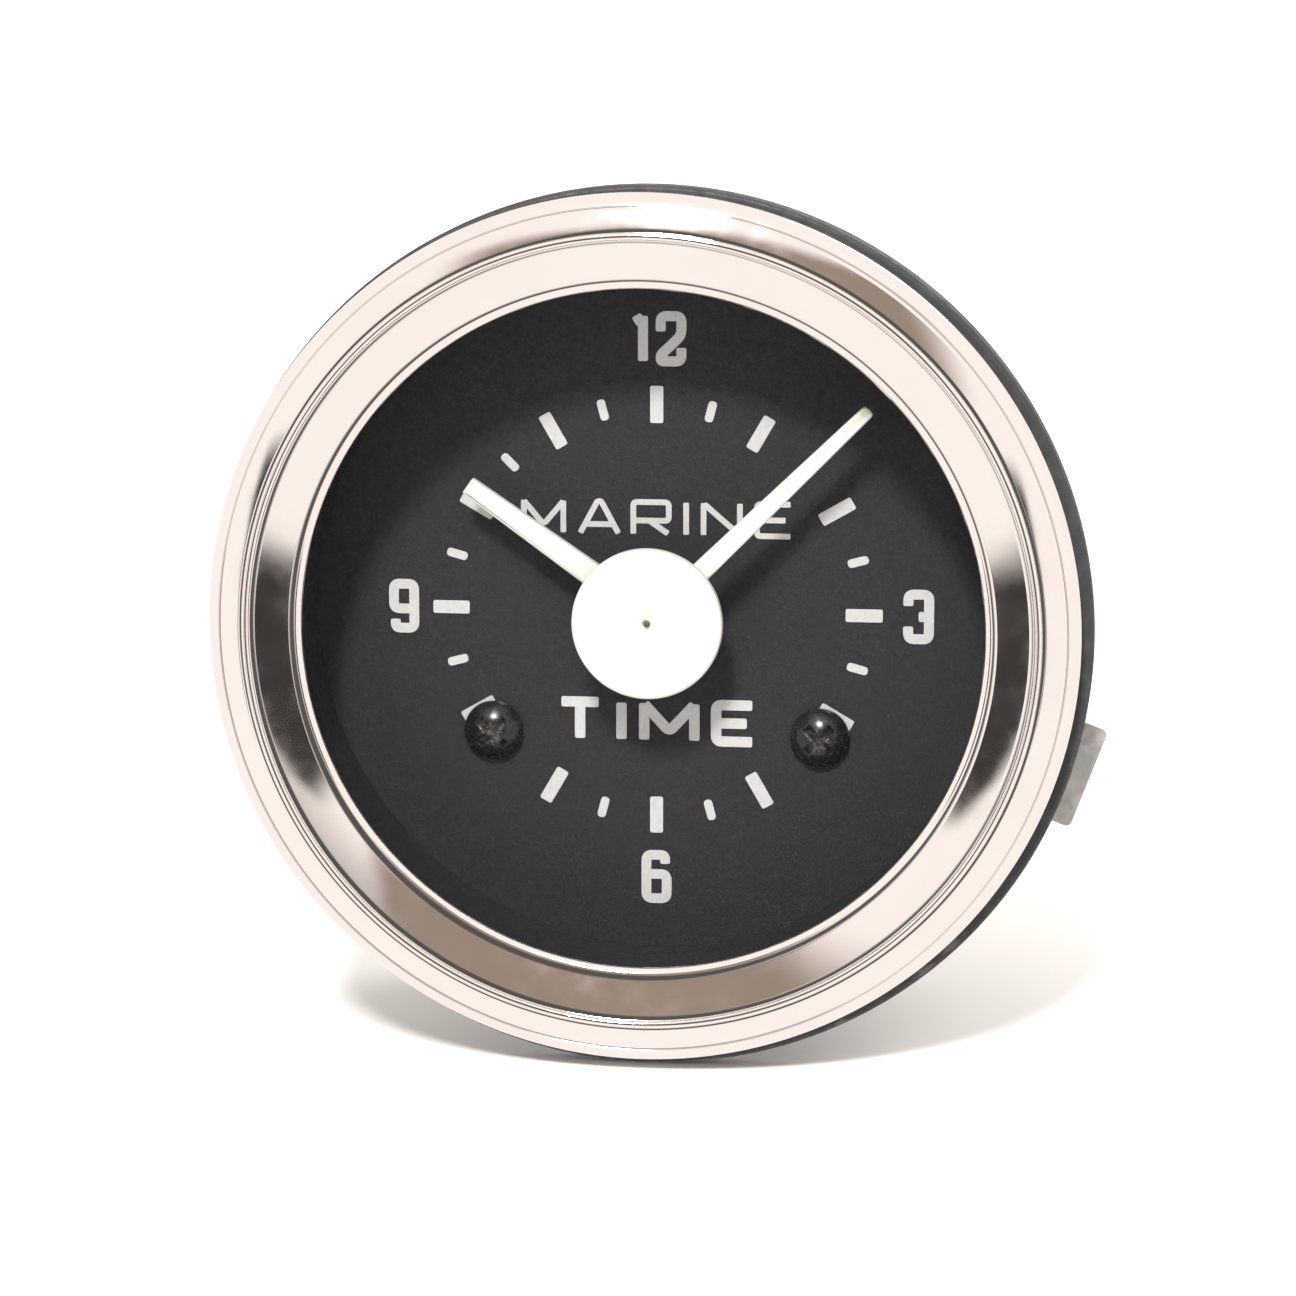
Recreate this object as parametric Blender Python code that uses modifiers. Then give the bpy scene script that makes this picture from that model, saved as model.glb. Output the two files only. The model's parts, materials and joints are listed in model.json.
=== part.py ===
"""A panel-mounted quartz deck clock, as an assembly of separate pieces.

Lengths are in metres. The dial faces -Y and +Z is up. The origin is the centre of the
panel's hole, on the plane where the gasket meets the panel.

Every piece hangs from one empty, the clock frame. Its +X is to the reader's right, its +Y
is towards 12 o'clock and its +Z is towards the reader. So a height is a place in front of
the panel, and a negative height is a place behind it.
"""

import math

import bmesh
import bpy

MM = 0.001

# Bezel, lens and case
BEZEL_RADIUS = 30.0 * MM
BEZEL_BACK = 2.2 * MM
BEAD_RADIUS = 27.15 * MM
BEAD_TOP = 5.75 * MM
LIP_RADIUS = 23.5 * MM
LIP_HEIGHT = 4.1 * MM
SEAL_RADIUS = 30.4 * MM
SEAL_THICK = 2.1 * MM
CASE_RADIUS = 25.8 * MM
CASE_BORE = 25.0 * MM
CASE_BACK = -30.0 * MM
CASE_FLOOR = CASE_BACK + 0.8 * MM
FLANGE_RADIUS = 28.6 * MM
FLANGE_BACK = 2.65 * MM
FLANGE_TOP = 3.15 * MM
LENS_RADIUS = 24.7 * MM
LENS_BACK = 1.6 * MM
LENS_TOP = 3.4 * MM

# Dial and hands
DIAL_RADIUS = 24.85 * MM
DIAL_FACE = -5.0 * MM
DIAL_BACK = -5.8 * MM
SCREW_CLOCK_ANGLE = 127.0
SCREW_CIRCLE = 14.5 * MM
HOUR_ANGLE = 305.0
HOUR_LENGTH = 15.8 * MM
MINUTE_ANGLE = 45.4
MINUTE_LENGTH = 21.4 * MM
HUB_RADIUS = 5.25 * MM

# Movement: heights of its plates, then its gears
FRONT_PLATE = (-9.8 * MM, -8.6 * MM)
BACK_PLATE = (-18.6 * MM, -17.4 * MM)
PLATE_RADIUS = 23.2 * MM
BOARD = (-22.2 * MM, -21.0 * MM)
TRAIN_ARBOR = (-17.1 * MM, -10.1 * MM)
TRAIN_PIVOTS = (-18.2 * MM, -9.0 * MM)
ARBOR_RADIUS = 0.32 * MM
PIVOT_RADIUS = 0.25 * MM
PIVOT_HOLE = 0.35 * MM
HAND_MODULE = 0.30 * MM
SECOND_MODULE = 0.26 * MM
FIRST_MODULE = 0.22 * MM
CANNON_TEETH = 10
MOTION_TEETH = 30
MOTION_PINION_TEETH = 8
HOUR_TEETH = 32
SETTING_TEETH = 10
CENTRE_TEETH = 24
SECOND_PINION_TEETH = 8
SECOND_TEETH = 30
FIRST_PINION_TEETH = 6
FIRST_TEETH = 36
ROTOR_TEETH = 6
WHEEL_TOOTH = (0.75, 1.2, 0.70, 0.22)
PINION_TOOTH = (0.70, 1.2, 0.50, 0.25)

# Directions between neighbouring arbors, anticlockwise from 3 o'clock
DOWN = math.radians(-90)
TO_SECOND = math.radians(150)
TO_FIRST = math.radians(90)
TO_ROTOR = math.radians(60)

# Rear fittings and clamp
CLAMP_TURN = math.radians(-20.5)
STUD_SPREAD = 17.5 * MM
STUD_RADIUS = 2.0 * MM
STUD_END = -52.0 * MM
CLAMP_WIDTH = 7.4 * MM
CLAMP_THICK = 1.5 * MM
CLAMP_BAR = -36.0 * MM
CLAMP_FOOT = -5.5 * MM
CLAMP_ARM = 28.35 * MM
CLAMP_REACH = 32.45 * MM
CLAMP_SHORT_REACH = 30.6 * MM
LAMP_PLACE = (-8.0 * MM, 15.0 * MM)
BLOCK_PLACE = (8.0 * MM, 14.0 * MM)
BLADE_OFFSET = 2.8 * MM

RIM_STEPS = 48
MERGE = 0.000001

# Base colour, roughness, metallic
FINISHES = {
    "chrome": ((0.86, 0.83, 0.80), 0.06, 1.0),
    "steel": ((0.62, 0.61, 0.59), 0.30, 1.0),
    "zinc": ((0.70, 0.71, 0.70), 0.35, 1.0),
    "brass": ((0.78, 0.60, 0.28), 0.28, 1.0),
    "copper": ((0.72, 0.38, 0.22), 0.35, 1.0),
    "magnet": ((0.18, 0.18, 0.19), 0.40, 1.0),
    "glass": ((0.92, 0.96, 0.95), 0.02, 0.0),
    "dial_black": ((0.028, 0.028, 0.031), 0.70, 0.0),
    "hand_white": ((0.92, 0.90, 0.84), 0.45, 0.0),
    "black_screw": ((0.03, 0.03, 0.03), 0.40, 0.0),
    "black_plastic": ((0.025, 0.025, 0.027), 0.45, 0.0),
    "white_plastic": ((0.80, 0.79, 0.74), 0.50, 0.0),
    "rubber": ((0.035, 0.035, 0.035), 0.80, 0.0),
    "board_green": ((0.05, 0.22, 0.10), 0.45, 0.0),
}


def new_collection(name):
    made = bpy.data.collections.new(name)
    bpy.context.scene.collection.children.link(made)
    return made


def clear_scene():
    for old in list(bpy.data.objects):
        bpy.data.objects.remove(old, do_unlink=True)


def painted(piece, finish):
    """Give a piece its own Principled material."""
    colour, roughness, metallic = FINISHES[finish]
    made = bpy.data.materials.new(f"{piece.name}_{finish}")
    made.use_nodes = True
    shader = made.node_tree.nodes["Principled BSDF"]
    shader.inputs["Base Color"].default_value = (*colour, 1.0)
    shader.inputs["Roughness"].default_value = roughness
    shader.inputs["Metallic"].default_value = metallic
    made.diffuse_color = (*colour, 1.0)
    piece.data.materials.clear()
    piece.data.materials.append(made)
    return piece


def hung(piece, place, height, turn):
    """Hang a piece from the clock frame at a place across it, a height and a rotation."""
    PARTS.objects.link(piece)
    piece.parent = CLOCK_FRAME
    piece.location = (place[0], place[1], height)
    piece.rotation_euler = turn
    return piece


def on_clock(radius, degrees):
    """A place at an angle clockwise from 12 o'clock."""
    angle = math.radians(degrees)
    return (radius * math.sin(angle), radius * math.cos(angle))


def from_axis(radius, angle):
    """A place at an angle in radians, anticlockwise from 3 o'clock."""
    return (radius * math.cos(angle), radius * math.sin(angle))


def shifted(place, move):
    return (place[0] + move[0], place[1] + move[1])


def circle(radius, count, centre=(0.0, 0.0)):
    return [shifted(centre, from_axis(radius, math.tau * i / count)) for i in range(count)]


def rectangle(width, height, centre=(0.0, 0.0)):
    corners = ((-1, -1), (1, -1), (1, 1), (-1, 1))
    return [shifted(centre, (x * width / 2, y * height / 2)) for x, y in corners]


def turned(name, profile, finish, steps=24, ring=True, place=(0.0, 0.0)):
    """Turn a profile of (radius, height) points about the piece's axis.

    A ring's profile closes on itself. Any other starts and ends on the axis.
    """
    edges = [(i, i + 1) for i in range(len(profile) - 1)]
    if ring:
        edges.append((len(profile) - 1, 0))
    mesh = bpy.data.meshes.new(name)
    mesh.from_pydata([(radius, 0.0, height) for radius, height in profile], edges, [])
    piece = painted(bpy.data.objects.new(name, mesh), finish)
    screw = piece.modifiers.new("Turn", "SCREW")
    screw.steps = steps
    screw.render_steps = steps
    screw.use_merge_vertices = True
    screw.merge_threshold = MERGE
    screw.use_smooth_shade = steps >= 12
    return hung(piece, place, 0.0, (0.0, 0.0, 0.0))


def band(inner, outer, low, high):
    """The profile of a plain ring."""
    return [(inner, high), (outer, high), (outer, low), (inner, low)]


def sheet(name, outlines, low, high, finish, place=(0.0, 0.0), turn=(0.0, 0.0, 0.0)):
    """Extrude flat outlines, the first the edge and the others holes, between two heights."""
    curve = bpy.data.curves.new(name, "CURVE")
    curve.dimensions = "2D"
    curve.fill_mode = "BOTH"
    curve.extrude = (high - low) / 2
    for outline in outlines:
        spline = curve.splines.new("POLY")
        spline.points.add(len(outline) - 1)
        spline.use_cyclic_u = True
        for point, (x, y) in zip(spline.points, outline):
            point.co = (x, y, 0.0, 1.0)
    piece = painted(bpy.data.objects.new(name, curve), finish)
    return hung(piece, place, (low + high) / 2, turn)


def meshed(piece):
    """Turn a curve piece into a mesh piece with its caps welded on."""
    bpy.context.view_layer.update()
    seen = piece.evaluated_get(bpy.context.evaluated_depsgraph_get())
    mesh = bpy.data.meshes.new_from_object(seen)
    work = bmesh.new()
    work.from_mesh(mesh)
    bmesh.ops.remove_doubles(work, verts=work.verts, dist=MERGE)
    work.to_mesh(mesh)
    work.free()
    made = bpy.data.objects.new("meshed", mesh)
    PARTS.objects.link(made)
    made.parent = CLOCK_FRAME
    made.matrix_world = piece.matrix_world
    name = piece.name
    bpy.data.objects.remove(piece, do_unlink=True)
    made.name = name
    return made


def combine(piece, tool, operation):
    """Cut or join a piece with another object, which then only guides the result."""
    for home in list(tool.users_collection):
        home.objects.unlink(tool)
    CUTTERS.objects.link(tool)
    tool.hide_render = True
    tool.display_type = "WIRE"
    made = piece.modifiers.new(tool.name, "BOOLEAN")
    made.operation = operation
    made.solver = "EXACT"
    made.object = tool
    return piece


def peg(name, radius, place, low, high, steps=16):
    """A plain cylinder along the clock's axis."""
    profile = [(0.0, high), (radius, high), (radius, low), (0.0, low)]
    return turned(name, profile, "steel", steps, ring=False, place=place)


def gear_outline(teeth, module, tooth, phase):
    """A gear's edge: straight-sided teeth, given as shares of the module and of the pitch."""
    addendum, dedendum, root, tip = tooth
    pitch_radius = teeth * module / 2
    outer = pitch_radius + addendum * module
    inner = pitch_radius - dedendum * module
    pitch = math.tau / teeth
    points = []
    for i in range(teeth):
        middle = phase + i * pitch
        points.append(from_axis(inner, middle - root * pitch / 2))
        points.append(from_axis(outer, middle - tip * pitch / 2))
        points.append(from_axis(outer, middle + tip * pitch / 2))
        points.append(from_axis(inner, middle + root * pitch / 2))
    return points


def meshing_phase(phase, teeth, other_teeth, direction):
    """The phase that puts another gear's gap over this gear's tooth, in a given direction."""
    return direction + math.pi - ((phase - direction) * teeth + math.pi) / other_teeth


def spacing(teeth, other_teeth, module):
    return (teeth + other_teeth) * module / 2


def add_gear(piece, teeth, module, tooth, phase, low, high, place, bore=None):
    """Join a gear to an arbor or a pipe."""
    outlines = [gear_outline(teeth, module, tooth, phase)]
    if bore:
        outlines.append(circle(bore, 16))
    name = f"{piece.name}_gear_{teeth}"
    gear = meshed(sheet(name, outlines, low, high, "brass", place))
    return combine(piece, gear, "UNION")


def arbor(name, place, finish):
    """A train arbor with a pivot at each end."""
    low, high = TRAIN_ARBOR
    pivot_low, pivot_high = TRAIN_PIVOTS
    profile = [
        (0.0, pivot_high),
        (PIVOT_RADIUS, pivot_high),
        (PIVOT_RADIUS, high),
        (ARBOR_RADIUS, high),
        (ARBOR_RADIUS, low),
        (PIVOT_RADIUS, low),
        (PIVOT_RADIUS, pivot_low),
        (0.0, pivot_low),
    ]
    return turned(name, profile, finish, 12, ring=False, place=place)


def make_bezel():
    """The chromed front ring, rolled round the case's flange behind it."""
    cavity = FLANGE_RADIUS + 0.1 * MM
    over_flange = FLANGE_TOP + 0.1 * MM
    over_lens = LENS_TOP + 0.4 * MM
    profile = [
        (BEAD_RADIUS, BEAD_TOP),
        (27.5 * MM, 5.45 * MM),
        (28.8 * MM, 5.0 * MM),
        (29.5 * MM, 4.5 * MM),
        (29.9 * MM, 3.8 * MM),
        (BEZEL_RADIUS, 3.0 * MM),
        (29.8 * MM, 2.4 * MM),
        (29.3 * MM, BEZEL_BACK),
        (26.6 * MM, BEZEL_BACK),
        (26.6 * MM, FLANGE_BACK - 0.1 * MM),
        (cavity, FLANGE_BACK - 0.1 * MM),
        (cavity, over_flange),
        (25.7 * MM, over_flange),
        (25.7 * MM, over_lens),
        (LIP_RADIUS, over_lens),
        (LIP_RADIUS, LIP_HEIGHT),
        (24.2 * MM, 4.45 * MM),
        (26.7 * MM, 5.4 * MM),
    ]
    turned("bezel_ring", profile, "chrome", RIM_STEPS)


def make_case():
    """The pressed case, with its flange in front and the openings in its back."""
    profile = [
        (0.0, CASE_FLOOR),
        (CASE_BORE - 0.4 * MM, CASE_FLOOR),
        (CASE_BORE, CASE_FLOOR + 0.4 * MM),
        (CASE_BORE, FLANGE_TOP),
        (FLANGE_RADIUS, FLANGE_TOP),
        (FLANGE_RADIUS, FLANGE_BACK),
        (CASE_RADIUS, FLANGE_BACK),
        (CASE_RADIUS, CASE_BACK + 0.7 * MM),
        (CASE_RADIUS - 0.7 * MM, CASE_BACK),
        (0.0, CASE_BACK),
    ]
    case = turned("case_can", profile, "steel", RIM_STEPS, ring=False)
    through = (CASE_BACK - 1.0 * MM, CASE_FLOOR + 1.0 * MM)
    for side, place in STUD_PLACES.items():
        combine(case, peg(f"stud_hole_{side}", 2.15 * MM, place, *through), "DIFFERENCE")
    combine(case, peg("setting_hole", 1.1 * MM, SETTING_AXIS, *through), "DIFFERENCE")
    combine(case, peg("lamp_hole", 3.6 * MM, LAMP_PLACE, *through, 24), "DIFFERENCE")
    slot = sheet("blade_hole", [rectangle(8.5 * MM, 5.6 * MM)], *through, "steel", BLOCK_PLACE)
    combine(case, meshed(slot), "DIFFERENCE")


def make_front():
    """The seals, the lens and the ring that holds the lens off the dial."""
    make_bezel()
    seal = band(26.0 * MM, SEAL_RADIUS, 0.0, SEAL_THICK)
    turned("panel_gasket", seal, "rubber", RIM_STEPS)
    lens = [(0.0, LENS_TOP), (LENS_RADIUS, LENS_TOP), (LENS_RADIUS, LENS_BACK), (0.0, LENS_BACK)]
    turned("lens_glass", lens, "glass", RIM_STEPS, ring=False)
    lens_seal = band(23.7 * MM, 25.4 * MM, LENS_TOP + 0.06 * MM, LENS_TOP + 0.34 * MM)
    turned("lens_gasket", lens_seal, "rubber", RIM_STEPS)
    shade = band(24.2 * MM, 24.85 * MM, DIAL_FACE + 0.1 * MM, LENS_BACK - 0.1 * MM)
    turned("shade_ring", shade, "dial_black", RIM_STEPS)


def make_dial():
    """The dial, its two screws and the tubes that space it from the movement."""
    holes = [circle(2.0 * MM, 24)]
    holes += [circle(1.15 * MM, 12, place) for place in SCREW_PLACES.values()]
    edge = circle(DIAL_RADIUS, RIM_STEPS)
    sheet("dial_plate", [edge, *holes], DIAL_BACK, DIAL_FACE, "dial_black")
    seat = DIAL_FACE + 0.1 * MM
    for side, place in SCREW_PLACES.items():
        profile = [
            (0.0, seat + 1.4 * MM),
            (0.9 * MM, seat + 1.3 * MM),
            (1.7 * MM, seat + 0.95 * MM),
            (2.1 * MM, seat + 0.35 * MM),
            (2.1 * MM, seat),
            (1.0 * MM, seat),
            (1.0 * MM, FRONT_PLATE[0] + 0.2 * MM),
            (0.0, FRONT_PLATE[0] + 0.2 * MM),
        ]
        screw = turned(f"dial_screw_{side}", profile, "black_screw", 20, False, place)
        recess = sheet(
            f"cross_recess_{side}",
            [cross(2.3 * MM, 0.5 * MM)],
            seat + 0.6 * MM,
            seat + 2.0 * MM,
            "black_screw",
            place,
            (0.0, 0.0, math.radians(45)),
        )
        combine(screw, meshed(recess), "DIFFERENCE")
        tube = band(1.15 * MM, 1.9 * MM, FRONT_PLATE[1] + 0.1 * MM, DIAL_BACK - 0.1 * MM)
        turned(f"dial_spacer_{side}", tube, "white_plastic", 16, True, place)


def cross(length, width):
    """The outline of a plain cross."""
    long, short = length / 2, width / 2
    arm = [(short, short), (short, long), (-short, long)]
    points = []
    for _ in range(4):
        points += arm
        arm = [(-y, x) for x, y in arm]
    return points


def hand_outline(length, root, tip, boss, rounded):
    """A tapered hand pointing to 12 o'clock, with its round boss."""
    join = math.asin(root / 2 / boss)
    sweep = math.tau - 2 * join
    start = math.pi / 2 + join
    points = [from_axis(boss, start + sweep * i / 20) for i in range(21)]
    if rounded:
        centre = (0.0, length - tip / 2)
        points += [shifted(centre, from_axis(tip / 2, math.pi * i / 6)) for i in range(7)]
    else:
        points += [(tip / 2, length), (-tip / 2, length)]
    return points


def make_hands():
    """Both hands and the round cap that hides their bosses."""
    hour = hand_outline(HOUR_LENGTH, 1.8 * MM, 1.3 * MM, 3.2 * MM, rounded=False)
    turn = (0.0, 0.0, -math.radians(HOUR_ANGLE))
    bore = circle(1.7 * MM, 16)
    sheet("hour_hand", [hour, bore], -2.9 * MM, -2.0 * MM, "hand_white", turn=turn)
    minute = hand_outline(MINUTE_LENGTH, 1.5 * MM, 0.9 * MM, 3.2 * MM, rounded=True)
    turn = (0.0, 0.0, -math.radians(MINUTE_ANGLE))
    bore = circle(0.95 * MM, 16)
    sheet("minute_hand", [minute, bore], -1.3 * MM, -0.4 * MM, "hand_white", turn=turn)
    profile = [
        (0.0, 0.8 * MM),
        (HUB_RADIUS - 0.3 * MM, 0.8 * MM),
        (HUB_RADIUS, 0.5 * MM),
        (HUB_RADIUS, -0.15 * MM),
        (0.0, -0.15 * MM),
    ]
    turned("hub_cap", profile, "hand_white", 32, ring=False)


def make_motion_work():
    """The gears behind the dial that drive the hour hand and take the setting."""
    cannon = (-8.0 * MM, -7.2 * MM)
    profile = [
        (0.0, -0.3 * MM),
        (0.85 * MM, -0.3 * MM),
        (0.85 * MM, -12.2 * MM),
        (0.5 * MM, -12.2 * MM),
        (0.5 * MM, TRAIN_ARBOR[0]),
        (0.4 * MM, TRAIN_ARBOR[0]),
        (0.4 * MM, TRAIN_PIVOTS[0]),
        (0.0, TRAIN_PIVOTS[0]),
    ]
    centre = turned("centre_arbor", profile, "brass", 16, ring=False)
    add_gear(centre, CANNON_TEETH, HAND_MODULE, PINION_TOOTH, 0.0, *cannon, CENTRE)
    wheel = (-11.8 * MM, -11.0 * MM)
    add_gear(centre, CENTRE_TEETH, HAND_MODULE, WHEEL_TOOTH, 0.0, *wheel, CENTRE)

    tube = band(0.62 * MM, 0.80 * MM, -8.45 * MM, -6.05 * MM)
    motion = turned("motion_wheel", tube, "brass", 16, True, MOTION_AXIS)
    phase = meshing_phase(0.0, CANNON_TEETH, MOTION_TEETH, DOWN)
    level = (-7.9 * MM, -7.3 * MM)
    bore = 0.71 * MM
    add_gear(motion, MOTION_TEETH, HAND_MODULE, WHEEL_TOOTH, phase, *level, MOTION_AXIS, bore)
    level = (-6.9 * MM, -6.1 * MM)
    teeth = MOTION_PINION_TEETH
    add_gear(motion, teeth, HAND_MODULE, PINION_TOOTH, 0.0, *level, MOTION_AXIS, bore)
    peg("motion_post", 0.5 * MM, MOTION_AXIS, -9.7 * MM, -5.95 * MM, 12)

    pipe = band(1.05 * MM, 1.6 * MM, -6.9 * MM, -1.9 * MM)
    hour = turned("hour_wheel", pipe, "brass", 20)
    hour_phase = meshing_phase(0.0, MOTION_PINION_TEETH, HOUR_TEETH, -DOWN)
    level = (-6.8 * MM, -6.2 * MM)
    bore = 1.3 * MM
    add_gear(hour, HOUR_TEETH, HAND_MODULE, WHEEL_TOOTH, hour_phase, *level, CENTRE, bore)

    profile = [(0.0, -6.6 * MM), (0.8 * MM, -6.6 * MM), (0.8 * MM, -33.5 * MM), (0.0, -33.5 * MM)]
    setting = turned("setting_shaft", profile, "steel", 12, False, SETTING_AXIS)
    setting_phase = meshing_phase(phase, MOTION_TEETH, SETTING_TEETH, DOWN)
    add_gear(
        setting, SETTING_TEETH, HAND_MODULE, PINION_TOOTH, setting_phase, *cannon, SETTING_AXIS
    )


def make_train():
    """The two reducing wheels and the stepping rotor that drives them."""
    second = arbor("second_wheel", SECOND_AXIS, "white_plastic")
    phase = meshing_phase(0.0, CENTRE_TEETH, SECOND_PINION_TEETH, TO_SECOND)
    level = (-12.2 * MM, -10.6 * MM)
    teeth = SECOND_PINION_TEETH
    add_gear(second, teeth, HAND_MODULE, PINION_TOOTH, phase, *level, SECOND_AXIS)
    level = (-13.6 * MM, -13.0 * MM)
    add_gear(second, SECOND_TEETH, SECOND_MODULE, WHEEL_TOOTH, 0.0, *level, SECOND_AXIS)

    first = arbor("first_wheel", FIRST_AXIS, "white_plastic")
    phase = meshing_phase(0.0, SECOND_TEETH, FIRST_PINION_TEETH, TO_FIRST)
    level = (-13.9 * MM, -12.7 * MM)
    teeth = FIRST_PINION_TEETH
    add_gear(first, teeth, SECOND_MODULE, PINION_TOOTH, phase, *level, FIRST_AXIS)
    level = (-15.1 * MM, -14.6 * MM)
    add_gear(first, FIRST_TEETH, FIRST_MODULE, WHEEL_TOOTH, 0.0, *level, FIRST_AXIS)

    rotor = arbor("rotor_arbor", ROTOR_AXIS, "steel")
    phase = meshing_phase(0.0, FIRST_TEETH, ROTOR_TEETH, TO_ROTOR)
    level = (-15.4 * MM, -14.3 * MM)
    add_gear(rotor, ROTOR_TEETH, FIRST_MODULE, PINION_TOOTH, phase, *level, ROTOR_AXIS)
    magnet = band(0.42 * MM, 1.5 * MM, -12.4 * MM, -11.2 * MM)
    turned("rotor_magnet", magnet, "magnet", 20, True, ROTOR_AXIS)


def make_motor():
    """The stator, its core and coil, and the two posts that they sit on."""
    left, right = (-12.4 * MM, 8.4 * MM)
    low, high = (8.3 * MM, 13.9 * MM)
    tab = 3.6 * MM
    bar = (15.8 * MM, 17.6 * MM)
    posts = {
        "left": (left + tab / 2, 12.1 * MM),
        "right": (right - tab / 2, 12.1 * MM),
    }
    holes = [circle(1.1 * MM, 12, place) for place in posts.values()]
    edge = [(left, low), (right, low), (right, high), (left, high)]
    rotor_hole = circle(1.9 * MM, 20, ROTOR_AXIS)
    sheet("stator_plate", [edge, rotor_hole, *holes], -12.2 * MM, -11.4 * MM, "steel")
    core = [
        (left, 10.3 * MM),
        (left + tab, 10.3 * MM),
        (left + tab, bar[0]),
        (right - tab, bar[0]),
        (right - tab, 10.3 * MM),
        (right, 10.3 * MM),
        (right, bar[1]),
        (left, bar[1]),
    ]
    core_level = (-13.1 * MM, -12.3 * MM)
    sheet("coil_core", [core, *holes], *core_level, "steel")
    tube = [circle(2.5 * MM, 20), circle(1.25 * MM, 12)]
    middle = ((left + right) / 2, sum(bar) / 2)
    coil = sheet("drive_coil", tube, -6.4 * MM, 6.4 * MM, "copper", middle)
    coil.location.z = sum(core_level) / 2
    coil.rotation_euler = (0.0, math.radians(90), 0.0)
    for side, place in posts.items():
        profile = [
            (0.0, -9.9 * MM),
            (1.4 * MM, -9.9 * MM),
            (1.4 * MM, -11.3 * MM),
            (0.95 * MM, -11.3 * MM),
            (0.95 * MM, -17.3 * MM),
            (0.0, -17.3 * MM),
        ]
        turned(f"stator_post_{side}", profile, "brass", 12, False, place)


def make_plates():
    """The movement's two plates, their pillars and screws, and the ring round it all."""
    pivots = [circle(PIVOT_HOLE, 12, axis) for axis in (SECOND_AXIS, FIRST_AXIS, ROTOR_AXIS)]
    setting = circle(0.95 * MM, 12, SETTING_AXIS)
    edge = circle(PLATE_RADIUS, 40)
    front = [edge, circle(1.0 * MM, 16), circle(0.6 * MM, 12, MOTION_AXIS), setting, *pivots]
    front += [circle(1.15 * MM, 12, place) for place in SCREW_PLACES.values()]
    sheet("front_plate", front, *FRONT_PLATE, "brass")
    back = [edge, circle(0.5 * MM, 12), setting, *pivots]
    back += [circle(1.0 * MM, 12, place) for place in PILLAR_PLACES.values()]
    sheet("back_plate", back, *BACK_PLATE, "brass")
    for number, place in PILLAR_PLACES.items():
        tube = band(1.0 * MM, 1.8 * MM, BACK_PLATE[1] + 0.1 * MM, FRONT_PLATE[0] - 0.1 * MM)
        turned(f"plate_pillar_{number}", tube, "brass", 12, True, place)
        behind = BACK_PLATE[0] if number == LONE_PILLAR else BOARD[0]
        seat = behind - 0.1 * MM
        profile = [
            (0.0, -14.5 * MM),
            (0.85 * MM, -14.5 * MM),
            (0.85 * MM, seat),
            (1.9 * MM, seat),
            (1.9 * MM, seat - 1.0 * MM),
            (1.5 * MM, seat - 1.4 * MM),
            (0.0, seat - 1.4 * MM),
        ]
        turned(f"movement_screw_{number}", profile, "steel", 12, False, place)
    ring = band(23.4 * MM, 24.5 * MM, CASE_FLOOR + 0.1 * MM, DIAL_BACK - 0.1 * MM)
    turned("movement_ring", ring, "white_plastic", RIM_STEPS)


def make_board():
    """The circuit board, what is soldered to it and the tubes that space it."""
    edge = [
        (-10.0 * MM, -16.5 * MM),
        (10.0 * MM, -16.5 * MM),
        (15.5 * MM, -11.0 * MM),
        (15.5 * MM, -1.5 * MM),
        (-15.5 * MM, -1.5 * MM),
        (-15.5 * MM, -11.0 * MM),
    ]
    board_pillars = [place for n, place in PILLAR_PLACES.items() if n != LONE_PILLAR]
    holes = [circle(1.0 * MM, 12, place) for place in board_pillars]
    sheet("circuit_board", [edge, circle(1.2 * MM, 12, SETTING_AXIS), *holes], *BOARD, "board_green")
    for side, place in zip(("left", "right"), board_pillars):
        tube = band(1.0 * MM, 1.9 * MM, BOARD[1] + 0.1 * MM, BACK_PLATE[0] - 0.1 * MM)
        turned(f"board_spacer_{side}", tube, "white_plastic", 12, True, place)
    under = BOARD[0] - 0.1 * MM
    chip = [rectangle(5.0 * MM, 4.0 * MM)]
    sheet("driver_chip", chip, under - 1.4 * MM, under, "black_plastic", (6.0 * MM, -9.0 * MM))
    can = [circle(1.0 * MM, 16)]
    crystal = sheet("quartz_crystal", can, -3.0 * MM, 3.0 * MM, "steel", (-6.5 * MM, -13.0 * MM))
    crystal.location.z = under - 1.0 * MM
    crystal.rotation_euler = (0.0, math.radians(90), 0.0)
    place = (-5.5 * MM, -7.0 * MM)
    peg("supply_capacitor", 2.5 * MM, place, under - 5.0 * MM, under, 20)


def make_setting_knob():
    """The knurled knob on the back, pressed on the setting shaft."""
    low, high = (-36.5 * MM, -31.0 * MM)
    grip = [
        from_axis((3.6 if i % 2 else 3.3) * MM, math.tau * i / 36) for i in range(36)
    ]
    knob = meshed(sheet("setting_knob", [grip], low, high, "black_plastic", SETTING_AXIS))
    bore = peg("knob_bore", 0.9 * MM, SETTING_AXIS, -33.7 * MM, high + 1.0 * MM, 12)
    combine(knob, bore, "DIFFERENCE")


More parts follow.
